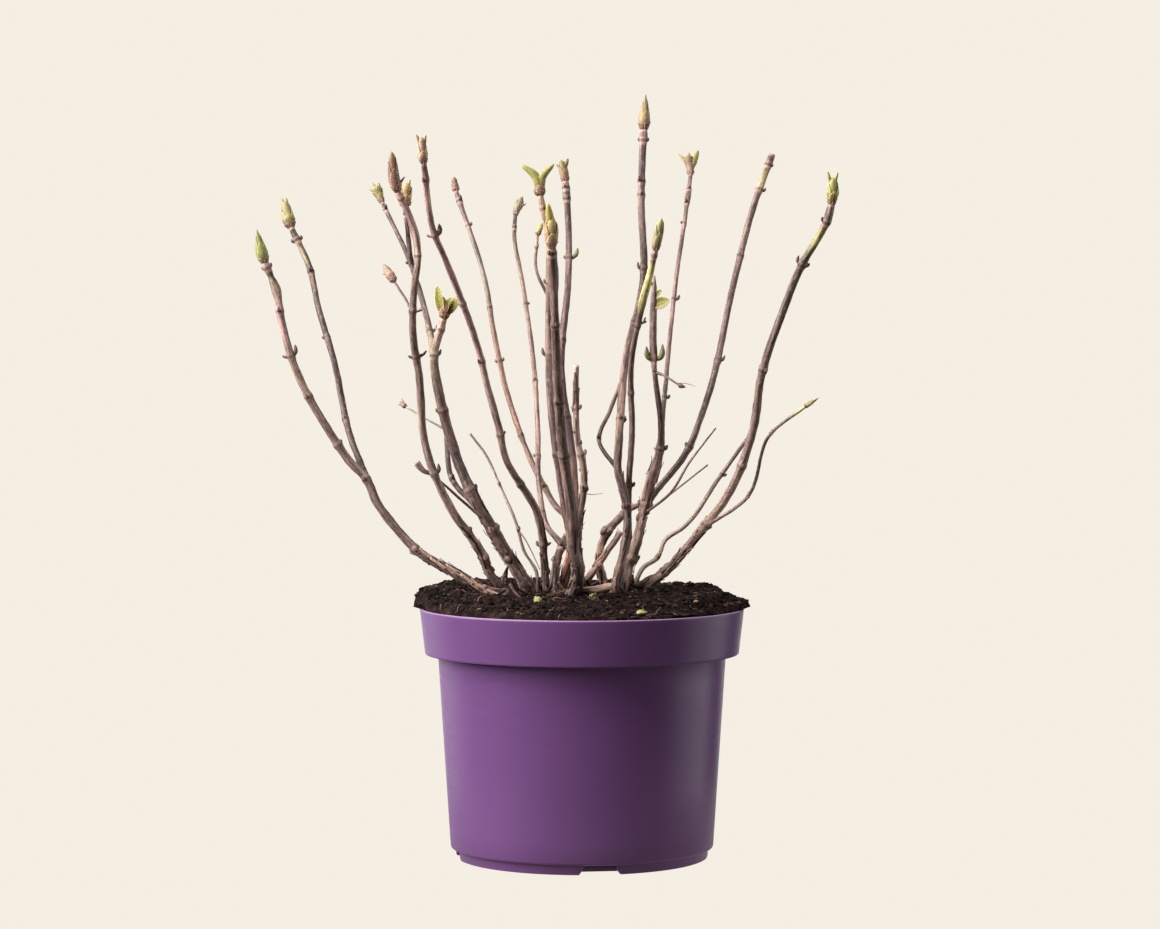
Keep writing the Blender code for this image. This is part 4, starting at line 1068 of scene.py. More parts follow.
def pot_profile():
    """The pot's wall as (radius, height), from under its middle up over the rim and down inside it.

    The small numbers round off its edges.
    """
    collar = COLLAR_FOOT_HEIGHT
    body_foot = (BODY_FOOT_RADIUS, FOOT_HEIGHT + 1.8)
    return [
        (0, 0),
        (FOOT_RADIUS - 3.0, 0),
        (FOOT_RADIUS - 1.2, 0),
        (FOOT_RADIUS - 0.3, 0.35),
        (FOOT_RADIUS, 1.2),
        (FOOT_RADIUS + 0.35, FOOT_HEIGHT - 1.0),
        (FOOT_RADIUS + 0.6, FOOT_HEIGHT - 0.4),
        (FOOT_RADIUS + 1.3, FOOT_HEIGHT),
        (BODY_FOOT_RADIUS - 1.2, FOOT_HEIGHT + 0.25),
        (BODY_FOOT_RADIUS - 0.4, FOOT_HEIGHT + 0.8),
        body_foot,
        *steps_between(body_foot, (BODY_TOP_RADIUS, collar - 1.6), 10),
        (BODY_TOP_RADIUS + 0.25, collar - 0.7),
        (BODY_TOP_RADIUS + 1.0, collar - 0.2),
        (COLLAR_FOOT_RADIUS - 1.6, collar),
        (COLLAR_FOOT_RADIUS - 0.9, collar),
        (COLLAR_FOOT_RADIUS - 0.3, collar + 0.2),
        (COLLAR_FOOT_RADIUS, collar + 0.8),
        (COLLAR_FOOT_RADIUS + 0.06, collar + 1.4),
        *steps_between((COLLAR_FOOT_RADIUS, collar + 1.0), (RIM_RADIUS, POT_HEIGHT - 1.2), 6)[:-1],
        (RIM_RADIUS - 0.08, POT_HEIGHT - 2.0),
        (RIM_RADIUS, POT_HEIGHT - 1.2),
        (RIM_RADIUS - 0.15, POT_HEIGHT - 0.6),
        (RIM_RADIUS - 0.6, POT_HEIGHT - 0.12),
        (RIM_RADIUS - 1.2, POT_HEIGHT),
        (RIM_RADIUS - 1.8, POT_HEIGHT - 0.2),
        (RIM_RADIUS - WALL, POT_HEIGHT - 0.8),
        (COLLAR_FOOT_RADIUS - WALL, collar + WALL + 1.4),
        (BODY_TOP_RADIUS - WALL, collar + WALL - 0.2),
        (BODY_FOOT_RADIUS - WALL, FOOT_HEIGHT + WALL + 0.6),
        (FOOT_RADIUS - WALL, FOOT_HEIGHT + WALL - 1.2),
        (FOOT_RADIUS - WALL, FLOOR),
        (0, FLOOR),
    ]


def outward(mesh):
    """Turns a mesh inside out where its volume comes out negative."""
    volume = 0.0
    for polygon in mesh.polygons:
        corners = [mesh.vertices[i].co for i in polygon.vertices]
        for b, c in zip(corners[1:], corners[2:]):
            volume += corners[0].dot(b.cross(c))
    if volume < 0:
        mesh.flip_normals()
    return mesh


def pot_shell():
    """The pot's profile, which starts and ends on its axis, turned to a closed mesh."""
    points, faces, rings = [], [], []
    for radius, height in pot_profile():
        start = len(points)
        if radius == 0:
            points.append((0, 0, height))
            rings.append([start] * POT_SIDES)
            continue
        points += [(radius * c, radius * s, height) for c, s in circle(POT_SIDES)]
        rings.append(list(range(start, start + POT_SIDES)))
    for low, high in zip(rings, rings[1:]):
        for i in range(POT_SIDES):
            j = (i + 1) % POT_SIDES
            faces.append(tuple(dict.fromkeys((low[i], low[j], high[j], high[i]))))
    return add_object("pot_shell", outward(add_mesh("pot_shell", points, faces)))


def notch_cutter():
    """Wedges that cut the drain notches through the foot of the wall."""
    low, high = (width / 2 for width in NOTCH_WIDTHS)
    top = FOOT_HEIGHT - 0.6
    corners = ((-low, -2), (low, -2), (low, 0), (high, top), (-high, top), (-low, 0))
    points, faces = [], []
    for index in range(NOTCH_COUNT):
        turn = Matrix.Rotation(math.radians(NOTCH_ANGLE + 360 * index / NOTCH_COUNT), 3, "Z")
        start = len(points)
        for distance in NOTCH_REACH:
            points += [tuple(turn @ Vector((x, -distance, z))) for x, z in corners]
        faces += [tuple(start + i for i in face) for face in ring_faces(2, len(corners))]
    return add_object("notches", outward(add_mesh("notches", points, faces)))


def make_pot():
    pot, cutter = pot_shell(), notch_cutter()
    cut = pot.modifiers.new("notches", "BOOLEAN")
    cut.operation = "DIFFERENCE"
    cut.solver = "EXACT"
    cut.object = cutter
    graph = bpy.context.evaluated_depsgraph_get()
    made = bpy.data.meshes.new_from_object(pot.evaluated_get(graph))
    pot.modifiers.clear()
    pot.data = made
    bpy.data.objects.remove(cutter)
    made.materials.clear()
    made.materials.append(plastic_material())
    made.shade_smooth()
    made.set_sharp_from_angle(angle=math.radians(POT_SHARP_DEGREES))
    place(pot, "pot", "pot")


# Soil


def soil_wave(turn, mean, right, back, sides):
    """A height that differs between the pot's right, back, left and front."""
    return mean + right * math.cos(turn) + back * math.sin(turn) + sides * math.cos(2 * turn)


def soil_edge(turn):
    """The soil's radius: over the pot's rim at the sides, and inside it at the front and back."""
    front, back, sides = SOIL_EDGES
    return mixed(sides, back if turn > 0 else front, eased(abs(math.sin(turn)) / EDGE_BLEND))


def soil_form(x, y):
    """The soil's height there without its lumps, and how near it is to its edge, from 0 to 1."""
    radius, turn = math.hypot(x, y), math.atan2(y, x)
    edge = soil_edge(turn)
    stops = (
        (0.0, SOIL_TOP),
        (SOIL_FLAT_RADIUS, SOIL_TOP),
        (SOIL_RING_RADIUS, soil_wave(turn, *SOIL_HEAP_HEIGHT)),
        (edge - SOIL_SHOULDER, soil_wave(turn, *SOIL_EDGE_HEIGHT)),
    )
    if radius <= edge - SOIL_SHOULDER:
        return profile_at(stops, radius), radius / edge
    t = min(1.0, (radius - edge + SOIL_SHOULDER) / SOIL_SHOULDER)
    return mixed(SHOULDER_FOOT, stops[-1][1], math.sqrt(1 - t * t)), radius / edge


FEET = [(limb.path[0][0], limb.depths[0], limb.widths[0]) for limb in LIMBS.values() if not limb.parent]


def on_soil(x, y, above=0.0):
    """A place on the soil's lumpy surface, which is mounded round the stems' feet, or above it."""
    height, nearness = soil_form(x, y)
    lumps = lumpy(x, y, SOIL_LUMPS) * min(1.0, 6 * (1.03 - nearness))
    mounds = [bell(math.hypot(x - at_x, y - at_y) / (width * MOUND_REACH)) for at_x, at_y, width in FEET]
    return Vector((x, y, height + MOUND_HEIGHT * max(mounds) + lumps + above))


def make_soil():
    points = []
    lower = (
        (FOOT_RADIUS - SOIL_INSET - 12, FLOOR + 0.3),
        (FOOT_RADIUS - SOIL_INSET, FOOT_HEIGHT + 2.0),
        (BODY_TOP_RADIUS - SOIL_INSET, COLLAR_FOOT_HEIGHT + WALL + 0.4),
        (RIM_RADIUS - SOIL_INSET, POT_HEIGHT - 1.0),
    )
    turns = [FULL_TURN * i / SOIL_SIDES - math.pi for i in range(SOIL_SIDES)]
    for radius, height in lower:
        points += [(radius * math.cos(t), radius * math.sin(t), height) for t in turns]
    for k in range(SOIL_RINGS):
        share = 1 - k / SOIL_RINGS
        for t in turns:
            c, s = math.cos(t), math.sin(t)
            ragged = 0.9 * lumpy(c, s, SOIL_RAGGED) * max(0.0, 1 - k / RAGGED_RINGS)
            radius = (soil_edge(t) + ragged) * math.sin(math.pi / 2 * share)
            points.append(on_soil(radius * c, radius * s))
    points.append(on_soil(0, 0))
    rings = len(lower) + SOIL_RINGS
    faces = ring_faces(rings, SOIL_SIDES, capped=False)
    faces.append(tuple(reversed(range(SOIL_SIDES))))
    last = (rings - 1) * SOIL_SIDES
    faces += [(last + i, last + (i + 1) % SOIL_SIDES, len(points) - 1) for i in range(SOIL_SIDES)]
    shape = Shape()
    shape.add(points, faces, tinted(SOIL_TINT))
    place(shape.build("peat_bed", soil_material()), "soil", "soil")


def lump_template(cuts):
    """A round body: one of eight faces, each of which is cut in four so many times."""
    points = [Vector(p) for p in ((1, 0, 0), (-1, 0, 0), (0, 1, 0), (0, -1, 0), (0, 0, 1), (0, 0, -1))]
    faces = [(0, 2, 4), (2, 1, 4), (1, 3, 4), (3, 0, 4), (2, 0, 5), (1, 2, 5), (3, 1, 5), (0, 3, 5)]
    for _ in range(cuts):
        middles = {}

        def middle(a, b):
            key = (min(a, b), max(a, b))
            if key not in middles:
                middles[key] = len(points)
                points.append(((points[a] + points[b]) / 2).normalized())
            return middles[key]

        finer = []
        for a, b, c in faces:
            ab, bc, ca = middle(a, b), middle(b, c), middle(c, a)
            finer += [(a, ab, ca), (ab, b, bc), (ca, bc, c), (ab, bc, ca)]
        faces = finer
    return points, faces


def soil_spot(draw, edge_share):
    """A random spot on the soil, oftener near its edge for a larger share."""
    turn = draw.uniform(-math.pi, math.pi)
    edge = soil_edge(turn)
    reach = math.sqrt(draw.random()) if draw.random() > edge_share else draw.uniform(0.9, 1.0)
    radius = edge * reach * 0.99
    return on_soil(radius * math.cos(turn), radius * math.sin(turn))


def make_crumbs(material):
    """Lumps of peat and bark of many sizes, strewn over the soil and along its edge."""
    template, faces = lump_template(1)
    draw = random.Random(CRUMB_SEED)
    smallest, more, rarity = CRUMB_SIZES
    shape = Shape()
    for index in range(CRUMB_COUNT):
        size = smallest + more * draw.random() ** rarity
        spot = soil_spot(draw, CRUMB_EDGE_SHARE)
        stretch = Vector([draw.uniform(*stretches) for stretches in CRUMB_STRETCHES]) * size
        turn = Matrix.Rotation(draw.uniform(0, 6.28), 3, "Z")
        turn = turn @ Matrix.Rotation(draw.uniform(-CRUMB_TILT, CRUMB_TILT), 3, "X")
        points = []
        for p in template:
            rough = 1 + 0.45 * noise.noise(p * 1.7 + Vector((index, 0, 0)))
            points.append(spot + turn @ (p * stretch) * rough)
        pick = min(len(CRUMB_TINTS) - 1, int(abs(draw.gauss(0, CRUMB_TINT_SPREAD))))
        shape.add(points, faces, tinted(CRUMB_TINTS[pick]))
    place(shape.build("crumbs", material, smooth=False), "soil")


def make_roots(material):
    """Dark root collars that run from the stems' feet down into the soil."""
    draw = random.Random(ROOT_SEED)
    shape = Shape()
    for x, y, width in FEET:
        for _ in range(ROOTS_EACH):
            ahead = heading(draw.uniform(0, FULL_TURN))
            reach, rise = draw.uniform(*ROOT_REACHES) * width, draw.uniform(*ROOT_RISES)
            foot = Vector((x, y, SOIL_TOP)) + ahead * width * 0.35
            middle, end = foot + ahead * reach * 0.35, foot + ahead * reach
            middle = on_soil(middle.x, middle.y, draw.uniform(*ROOT_LIFTS))
            end = on_soil(end.x, end.y, -1.5)
            tint = tinted(draw.choice(ROOT_TINTS))
            thick = draw.uniform(*ROOT_WIDTHS)
            strand(shape, [foot + UP * rise, middle, end], (thick, thick * 0.4), tint, 6)
    place(shape.build("roots", material), "soil")


def make_fibres(material):
    """Fine roots, fibres and slivers that lie on the soil, up to its edge."""
    draw = random.Random(FIBRE_SEED)
    shape = Shape()
    for _ in range(FIBRE_COUNT):
        start = soil_spot(draw, FIBRE_EDGE_SHARE)
        turn = draw.uniform(0, FULL_TURN)
        length = draw.uniform(*FIBRE_LENGTHS)
        line = [start + UP * 0.2]
        for _ in range(3):
            turn += draw.uniform(-FIBRE_BEND, FIBRE_BEND)
            spot = line[-1] + heading(turn) * length / 3
            inside = min(1.0, soil_edge(math.atan2(spot.y, spot.x)) / math.hypot(spot.x, spot.y))
            line.append(on_soil(spot.x * inside, spot.y * inside, draw.uniform(*FIBRE_LIFTS)))
        width = draw.uniform(*FIBRE_WIDTHS)
        strand(shape, line, (width, width * 0.5), tinted(CRUMB_TINTS[draw.choice(FIBRE_TINTS)]))
    place(shape.build("fibres", material), "soil")


# Limbs


def limb_marks(limb, length):
    """How pale and how dark the bark is by distance: a dark scar and pale rings at each node."""
    least, more, reach = RING_PALE

    def marks(distance):
        grown = distance - limb.buried
        pale = dark = 0.0
        for node in limb.nodes:
            strength = least + more * math.exp(-(length - limb.buried - node) / reach)
            pale = max(pale, strength * ring(grown - node, *LOWER_RING))
            pale = max(pale, UPPER_RING_SHARE * strength * ring(grown - node, *UPPER_RING))
            dark = max(dark, SCAR[0] * ring(grown - node, 0, SCAR[1]))
        if limb.widths[1] > TIP_RING_WIDTH:
            below, width, paleness = TIP_RING
            pale = max(pale, paleness * ring(length - distance, below, width))
        return pale, dark

    return marks


def make_limbs(bark):
    """Each limb's fine mesh, in place of its node. Gives the limbs' centre lines."""
    curves = {}
    for index, (name, limb) in enumerate(LIMBS.items()):
        curves[name] = limb_curve(name, curves)
        length = distances(curves[name])[-1]
        stops = toned(limb.tones)
        count = THICK_SIDES if max(limb.widths) > THIN_WIDTH else THIN_SIDES
        rough = BOUGH_ROUGHNESS if limb.parent else FOOT_ROUGHNESS

        def tone(distance):
            grown = max(0.0, distance - limb.buried)
            # darker near the soil: partly soil stain, partly painted shade where the feet crowd together
            stain_and_shade = 0.0 if limb.parent else FOOT_STAIN_AND_SHADE[0] * bell(grown / FOOT_STAIN_AND_SHADE[1])
            return tone_at(stops, grown / (length - limb.buried)) * (1 - stain_and_shade) * limb.shade

        def relief(distance):
            return SMOOTH_RELIEF + rough * math.exp(-max(0.0, distance - limb.buried) / ROUGH_REACH)

        shape = Shape()
        fine_tube(shape, curves[name], limb_radius(limb, length), count, tone, relief, index * SEED_STEP,
            limb_marks(limb, length))
        place(shape.build("bark_" + name, bark), "bark_pink" if name in PINK_BARK else "bark_dark", name)
    return curves


# Buds and leaves


def leaning(degrees, direction):
    """A direction that leans so far to the right of upright, and goes on with its limb's in depth."""
    lean = math.radians(degrees)
    return (Vector((math.sin(lean), 0, math.cos(lean))) + Vector((0, direction.y * 0.7, 0))).normalized()


def tint_at(stops, u, v):
    """The tint of a scale at u along it and v across it: base to tip, with its own edges."""
    base, middle, tip, edge = stops
    found = mixed(mixed(base, middle, eased(u / 0.42)), tip, clipped((u - 0.55) / 0.45))
    return mixed(found, edge, max(0.0, (abs(v) - 0.6) / 0.4) ** 1.5 * 0.7)


def core(shape, line, profile, stops, pleats, count=12, flat=1.0, rows=18):
    """Adds the closed middle of a bud along a line, pleated like the leaves folded in it.

    flat is how deep it is from front to back as a share of its width.
    """
    points, tints = [], []
    for u, (centre, side, other) in zip(even(rows), frames(smooth_curve(line, 1.0), even(rows))):
        radius = profile_at(profile, u)
        for i, (c, s) in enumerate(circle(count)):
            points.append(centre + (side * c + other * s * flat) * radius * (1 + pleats * (-1) ** i))
            tints.append(tint_at(stops, u, 0) * (0.92 + 0.1 * (i % 2)))
    shape.add(points, ring_faces(rows + 1, count), tints)


def sepal(shape, line, profile, span, facing, spread, stops, lift=0.25, flare=0.0, blunt=False, keel=0.06,
          veins=0.02, rows=14, cols=8, thick=0.32):
    """Adds a thin closed scale that hugs the bud along its line.

    span is where along the line it starts and ends, facing is its turn round it, and spread its half
    width, both in radians. flare is how far its tip stands out.
    """
    shares = [mixed(*span, u) for u in even(rows)]
    outer, inner, tints = [], [], []
    for u, share, (centre, side, other) in zip(even(rows), shares, frames(smooth_curve(line, 0.8), shares)):
        radius = profile_at(profile, share) * (0.86 + 0.14 * min(1.0, u / 0.2))
        radius += lift * min(1.0, u / 0.2) + flare * u**2.2
        closing = (1 - u**5) ** 0.5 if blunt else (1 - u**2.2) ** 0.8
        half = spread * max(0.06, closing) * (0.8 + 0.2 * min(1.0, u / 0.25))
        for j in range(cols + 1):
            v = 2 * j / cols - 1
            turn = facing + v * half
            out = side * math.cos(turn) + other * math.sin(turn)
            ripple = veins * math.sin(FULL_TURN * (u * 6 - abs(v) * 1.3)) * (1 - abs(v)) * min(1.0, 4 * u)
            ridge = keel * bell(v / 0.16)
            reach = radius * (1 + ripple + ridge)
            outer.append(centre + out * reach)
            inner.append(centre + out * (reach - thick * (1 - 0.6 * abs(v) ** 3) * (1 - 0.5 * u)))
            tints.append(tint_at(stops, share, v) * (1 + 2.2 * ripple + 0.6 * ridge))
    add_sheet(shape, rows, cols, outer, inner, tints, inner_shade=0.8)


def leaf(shape, root, axis, out, length, width, stops, fold=0.35, bend=0.0, curl=0.6):
    """Adds a thin closed young leaf, creased along its rib, with sunken veins and a toothed edge.

    bend leans the whole of it outward, and curl only its tip.
    """
    side = axis.cross(out).normalized()
    out = side.cross(axis).normalized()
    rows, cols, thick = 20, 10, 0.4
    peak, rise = 0.45, 0.55
    fall = rise * (1 - peak) / peak
    top = peak**rise * (1 - peak) ** fall
    centre = root.copy()
    outer, inner, tints = [], [], []
    for i, u in enumerate(even(rows)):
        lean = bend * u + curl * u * u
        ahead = axis * math.cos(lean) + out * math.sin(lean)
        normal = out * math.cos(lean) - axis * math.sin(lean)
        half = max(0.15, width / 2 * ((u + 0.06) ** rise * (1 - u) ** fall / top))
        for j in range(cols + 1):
            v = 2 * j / cols - 1
            reach = half * (1.07 if abs(v) > 0.95 and i % 2 and 1 < i < rows - 1 else 1.0)
            ripple = math.sin(FULL_TURN * (u * 6.5 - abs(v) * 1.2)) * (1 - abs(v)) * 0.045
            rib = -0.14 * bell(v / 0.12)
            lift = (ripple + rib) * half - fold * reach * abs(v) ** 1.4
            spot = centre + side * reach * v - normal * lift
            half_thick = thick / 2 * (1 - 0.5 * u) * (1 - 0.6 * abs(v) ** 3)
            outer.append(spot - normal * half_thick)
            inner.append(spot + normal * half_thick)
            tints.append(tint_at(stops, u, v) * (1 + 2.0 * ripple - 1.2 * rib))
        centre = centre + ahead * length / rows
    add_sheet(shape, rows, cols, outer, inner, tints, outer_shade=0.92)


def grow_bud(shape, shoot, base, direction, axis, stalk, stops, draw):
    """A pleated core in pairs of scales, each pair a quarter turn on, with a dry pair round its foot."""
    size, half = shoot.length, shoot.width / 2
    dry = [stops[0] * 0.95, stops[0] * 1.05, stops[0] * 0.85, stops[3] * 0.9]
    if shoot.kind == "leaves":
        brown = [tint * shoot.shade * 1.15 for tint in TINT_COLOURS["brown"]]
        stops = [brown[0], mixed(brown[0], brown[1], 0.5), mixed(brown[1], stops[1], 0.5), stops[1]]
    outline = shoot.outline or OUTLINES[shoot.kind]
    profile = [(share, stalk * width) for share, width in NECK]
    profile += [(share, half * width) for share, width in outline]
    bend = base + direction * BUD_BEND[0] * size + axis * BUD_BEND[1] * size
    core_end = min(1.0, outline[-1][0] + CORE_ABOVE)
    middle = [(share / core_end, radius * CORE_SHARE) for share, radius in profile if share < 1]
    core(shape, [base, bend, base + axis * size * core_end], (*middle, (1, 0.05)), stops, CORE_PLEATS)
    line = [base, bend, base + axis * size]
    veins = STRAW_VEINS if shoot.tint == "straw" else SCALE_VEINS
    for turn, reach, spread, lift in WRAPS:
        span = (SCALE_START, outline[-2][0] * reach + draw.uniform(*SCALE_DRAWS))
        sepal(shape, line, profile, span, turn, spread, stops, lift=lift, flare=SCALE_FLARE, veins=veins)
    for turn in DRY_TURNS:
        span = (0.0, DRY_REACH + draw.uniform(*DRY_DRAWS))
        sepal(shape, line, profile, span, turn, DRY_SPREAD, dry, lift=DRY_LIFT, flare=SCALE_FLARE,
            blunt=True, rows=8)


def grow_prongs(shape, shoot, base, direction, axis, stops):
    """The tips that stand out of a bud, each a small pleated core of its own."""
    size, side = shoot.length, across(axis)
    tip_stops = [stops[1], mixed(stops[1], stops[2], 0.5), stops[2], stops[3]]
    for degrees, start, end, width, bend_out in shoot.prongs:
        tilt = leaning(degrees, direction)
        bow = side * math.copysign(bend_out * size * PRONG_BOW, degrees)
        root = base + (axis * 0.6 + tilt * 0.4).normalized() * size * start
        tip = base + tilt * size * end + bow
        outline = (*((share, part * width / 2) for share, part in PRONG_OUTLINE), (1, 0.06))
        core(shape, [root, (root + tip) / 2 - bow, tip], outline, tip_stops, PRONG_PLEATS, 10, 0.8, 12)


def grow_blades(shape, shoot, base, direction, axis, stops):
    """An opening pair of leaves, with a smaller one behind each."""
    size, side = shoot.length, across(axis)
    other = axis.cross(side)
    back_length, back_width, back_fold, back_curl = BACK_BLADE
    for (degrees, curl, reach, width, own_side), way in zip(shoot.blades, (-1, 1)):
        tilt = leaning(degrees, direction)
        out = (side * way * own_side + other * way * math.sqrt(1 - own_side**2)).normalized()
        root = base + axis * size * 0.2 + side * way * (shoot.width / 2) * 0.3
        leaf(shape, root, tilt, out, size * reach * 0.86, size * width, stops, fold=BLADE_FOLD, curl=curl)
        back = (tilt * 0.7 + axis * 0.3).normalized()
        leaf(shape, root - out * 0.5, back, -out, size * back_length, size * width * back_width, stops,
            fold=back_fold, curl=back_curl)


def grow_shoot(shape, name, shoot, curve, stalk_width):
    """All that grows on a limb's end: its bud, and the tips or leaves that stand out of it."""
    draw = random.Random(name + " shoot")
    direction = (curve[-1] - curve[-2]).normalized()
    base = curve[-1] - direction * shoot.sink
    axis = leaning(sum(shoot.leans) / len(shoot.leans), direction)
    stops = [tint * shoot.shade for tint in TINT_COLOURS[shoot.tint]]
    grow_bud(shape, shoot, base, direction, axis, stalk_width / 2, stops, draw)
    grow_prongs(shape, shoot, base, direction, axis, stops)
    grow_blades(shape, shoot, base, direction, axis, stops)


def make_shoots(curves, skin):
    """Each limb's bud or leaves. The model has no mass on a twig, so those stand for no node."""
    for name, shoot in SHOOTS.items():
        shape = Shape()
        grow_shoot(shape, name, shoot, curves[name], LIMBS[name].widths[1])
        nodes = ()
        if not name.startswith("twig"):
            nodes = (name.replace("stem_", "shoot_").replace("bough_", "shoot_bough_"),)
        place(shape.build("bud_" + name, skin), "bud_" + BUD_SLOTS.get(shoot.tint, shoot.tint), *nodes)


def small_bud(shape, root, out, up, length, width, stops):
    """A side bud of three scales round a small core, upright beside its limb."""
    axis = (out * 0.22 + up).normalized()
    middle = root + out * width * 0.45 + axis * length * 0.25
    line = [root, middle, root + out * width * 0.5 + axis * length]
    profile = ((0, width * 0.36), (0.25, width * 0.5), (0.5, width * 0.46), (0.8, width * 0.28), (1, 0.12))
    core(shape, line, profile, stops, 0.04, 8)
    for facing, top in ((0.4, 0.9), (2.5, 0.78), (4.6, 0.66)):
        sepal(shape, line, profile, (0.05, top), facing, 1.25, stops, lift=0.1, flare=0.1, veins=0.0,
            rows=8, cols=5, thick=0.22)


def thorn(shape, root, out, up, length, width, tint, rise=0.5):
    """A dry stub of a leaf stalk that stands out and turns up."""
    middle = root + out * length * 0.55 + up * length * 0.15
    end = root + out * length * 0.9 + up * length * rise
    strand(shape, [root, middle, end], (width * 1.1, width * 0.6), tint, 7)


def surface_spot(name, curves, distance, degrees, outward=1.0):
    """A place on a limb's bark, the way out from it and the way up along the limb.

    degrees is how far round the limb it is, from the right towards the back.
    """
    limb = LIMBS[name]
    along = distances(curves[name])
    centre, up = point_at(curves[name], along, limb.buried + distance)
    side = across(up)
    turn = math.radians(degrees)
    out = side * math.cos(turn) - side.cross(up) * math.sin(turn)
    radius = limb_radius(limb, along[-1])(limb.buried + distance)
    return centre + out * radius * outward, out, up


def side_growth():
    """All that grows at the nodes, as (limb, node, degrees, kind, length): named first, then drawn."""
    growth = [(name, *row) for name, rows in SIDE_GROWTH.items() for row in rows]
    named = {row[:2] for row in growth}
    draw = random.Random(DRAWN_SEED)
    for name, limb in LIMBS.items():
        for index in range(len(limb.nodes)):
            if (name, index) in named:
                continue
            turn = draw.uniform(*DRAWN_TURNS)
            growth.append((name, index, turn, "bump", draw.uniform(*DRAWN_BUMPS)))
            kind = draw.choice(("bump", "bud"))
            growth.append((name, index, turn + 180, kind, draw.uniform(*DRAWN_BUDS)))
    return growth


def make_side_growth(curves, skin, crumb):
    """Side buds and thorns at the nodes, each kind one piece."""
    buds, thorns = Shape(), Shape()
    for name, index, degrees, kind, length in side_growth():
        limb = LIMBS[name]
        root, out, up = surface_spot(name, curves, limb.nodes[index], degrees, 0.72)
        share = limb.nodes[index] / (distances(curves[name])[-1] - limb.buried)
        tone = tone_at(toned(limb.tones), share) * 0.7 * limb.shade
        if kind == "bump":
            small_bud(buds, root, out, up, length, length * 0.66, [tone, tone, tone * 0.9, tone * 1.5])
        elif kind == "bud":
            small_bud(buds, root, out, up, length, length * 0.40, TINT_COLOURS["side_dark"])
        elif kind == "plump":
            start = root + out * 1.2 + up * 0.8
            small_bud(buds, start, out, up, length, length * 0.42, TINT_COLOURS["side_olive"])
            thorn(thorns, root, out, up, 3.0, 2.0, tone, 0.3)
        elif kind == "thorn":
            thorn(thorns, root, out, up, length, 2.3, tone)
        elif kind == "fork":
            thorn(thorns, root, out, up, length * 0.7, 2.4, tone, 0.4)
            thorn(thorns, root + out * length * 0.25, out * 0.4, up, length * 0.6, 1.8, tone, 0.95)
    place(buds.build("side_buds", skin), "bud_brown")
    place(thorns.build("thorns", crumb), "bark_dark")


# Small parts


def make_spur(curves, bark):
    """The short dead stub on the left stem, broken off blunt."""
    name, distance, lean, length, width = SPUR
    root, _, _ = surface_spot(name, curves, distance, 180, 0.0)
    out = leaning(lean, Vector((0, 0, 0)))
    curve = smooth_curve([root, root + out * length * 0.6, root + (out + UP * 0.3) * length], 1.0)
    stops = toned("peat 1 umber")
    shape = Shape()
    fine_tube(shape, curve, lambda d: width * (0.3 + 0.2 * d / length), 14,
        lambda d: tone_at(stops, d / length), lambda d: 0.28, 77.0)
    place(shape.build("dead_spur", bark), "bark_dark")


def make_top_twig(bark, skin):
    """The end of the thick right stem: a dark tapering point with two paddle buds and a small leaf."""
    depth = LIMBS[TOP_PARENT].depths[1]
    points = [Vector((x, depth, z)) for x, z in TOP_PATH]
    points[0].z -= TOP_SUNK
    curve = smooth_curve(points, CURVE_STEP)
    length = distances(curve)[-1]
    radii = (*TOP_RADII, (length, TOP_END_RADIUS))
    stops = toned(TOP_TONES)
    shape = Shape()
    fine_tube(shape, curve, lambda d: profile_at(radii, d), 18, lambda d: tone_at(stops, d / length),
        lambda d: 0.14, 31.0, lambda d: (TOP_RING[1] * bell(d - TOP_RING[0]), 0.0))
    place(shape.build("bark_top", bark), "bark_dark", TOP_TWIG)
    growth = Shape()
    olive = TINT_COLOURS["top_olive"]
    joint = points[0] + UP * TOP_JOINT
    for way, reach in TOP_BUDS:
        out = Vector((way, -0.25, 0))
        line = [joint, joint + out * 4.2 + UP * 2, joint + out * 5.8 + UP * reach]
        profile = ((0, 1.0), (0.3, 1.7), (0.6, 1.8), (0.85, 1.0), (1, 0.3))
        core(growth, line, profile, olive, 0.05, 10)
        for facing in (math.pi / 2, -math.pi / 2):
            sepal(growth, line, profile, (0.1, 0.95), facing, 1.35, olive, lift=0.15, flare=0.25, rows=12)
    green = [tint * 0.5 for tint in TINT_COLOURS["green"]]
    root = points[1] + Vector((0.6, -0.6, TOP_LEAF_HEIGHT))
    for lean, way, length, width in TOP_LEAVES:
        axis = leaning(lean, Vector((0, -0.3, 0)))
        leaf(growth, root, axis, Vector((0.2 * way, -1, 0.35)), length, width, green, bend=-0.1, curl=0.35)
        root = root + Vector(TOP_LEAF_STEP)
    place(growth.build("bud_top", skin), "bud_green")


def make_scraps(bark):
    """The shard that stands in the soil and the old piece that lies on it, both splintered."""
    for name, path, radii, slot, tone in SCRAPS:
        curve = smooth_curve([Vector((x, y, SOIL_TOP + z)) for x, y, z in path], 1.0)
        length = distances(curve)[-1]
        shape = Shape()
        fine_tube(shape, curve, lambda d: profile_at(radii, d / length), 14, lambda d: TONE_COLOURS[tone],
            lambda d: 0.42, 5.0 + len(name), step=0.8)
        place(shape.build("bark_" + name, bark), slot, name)


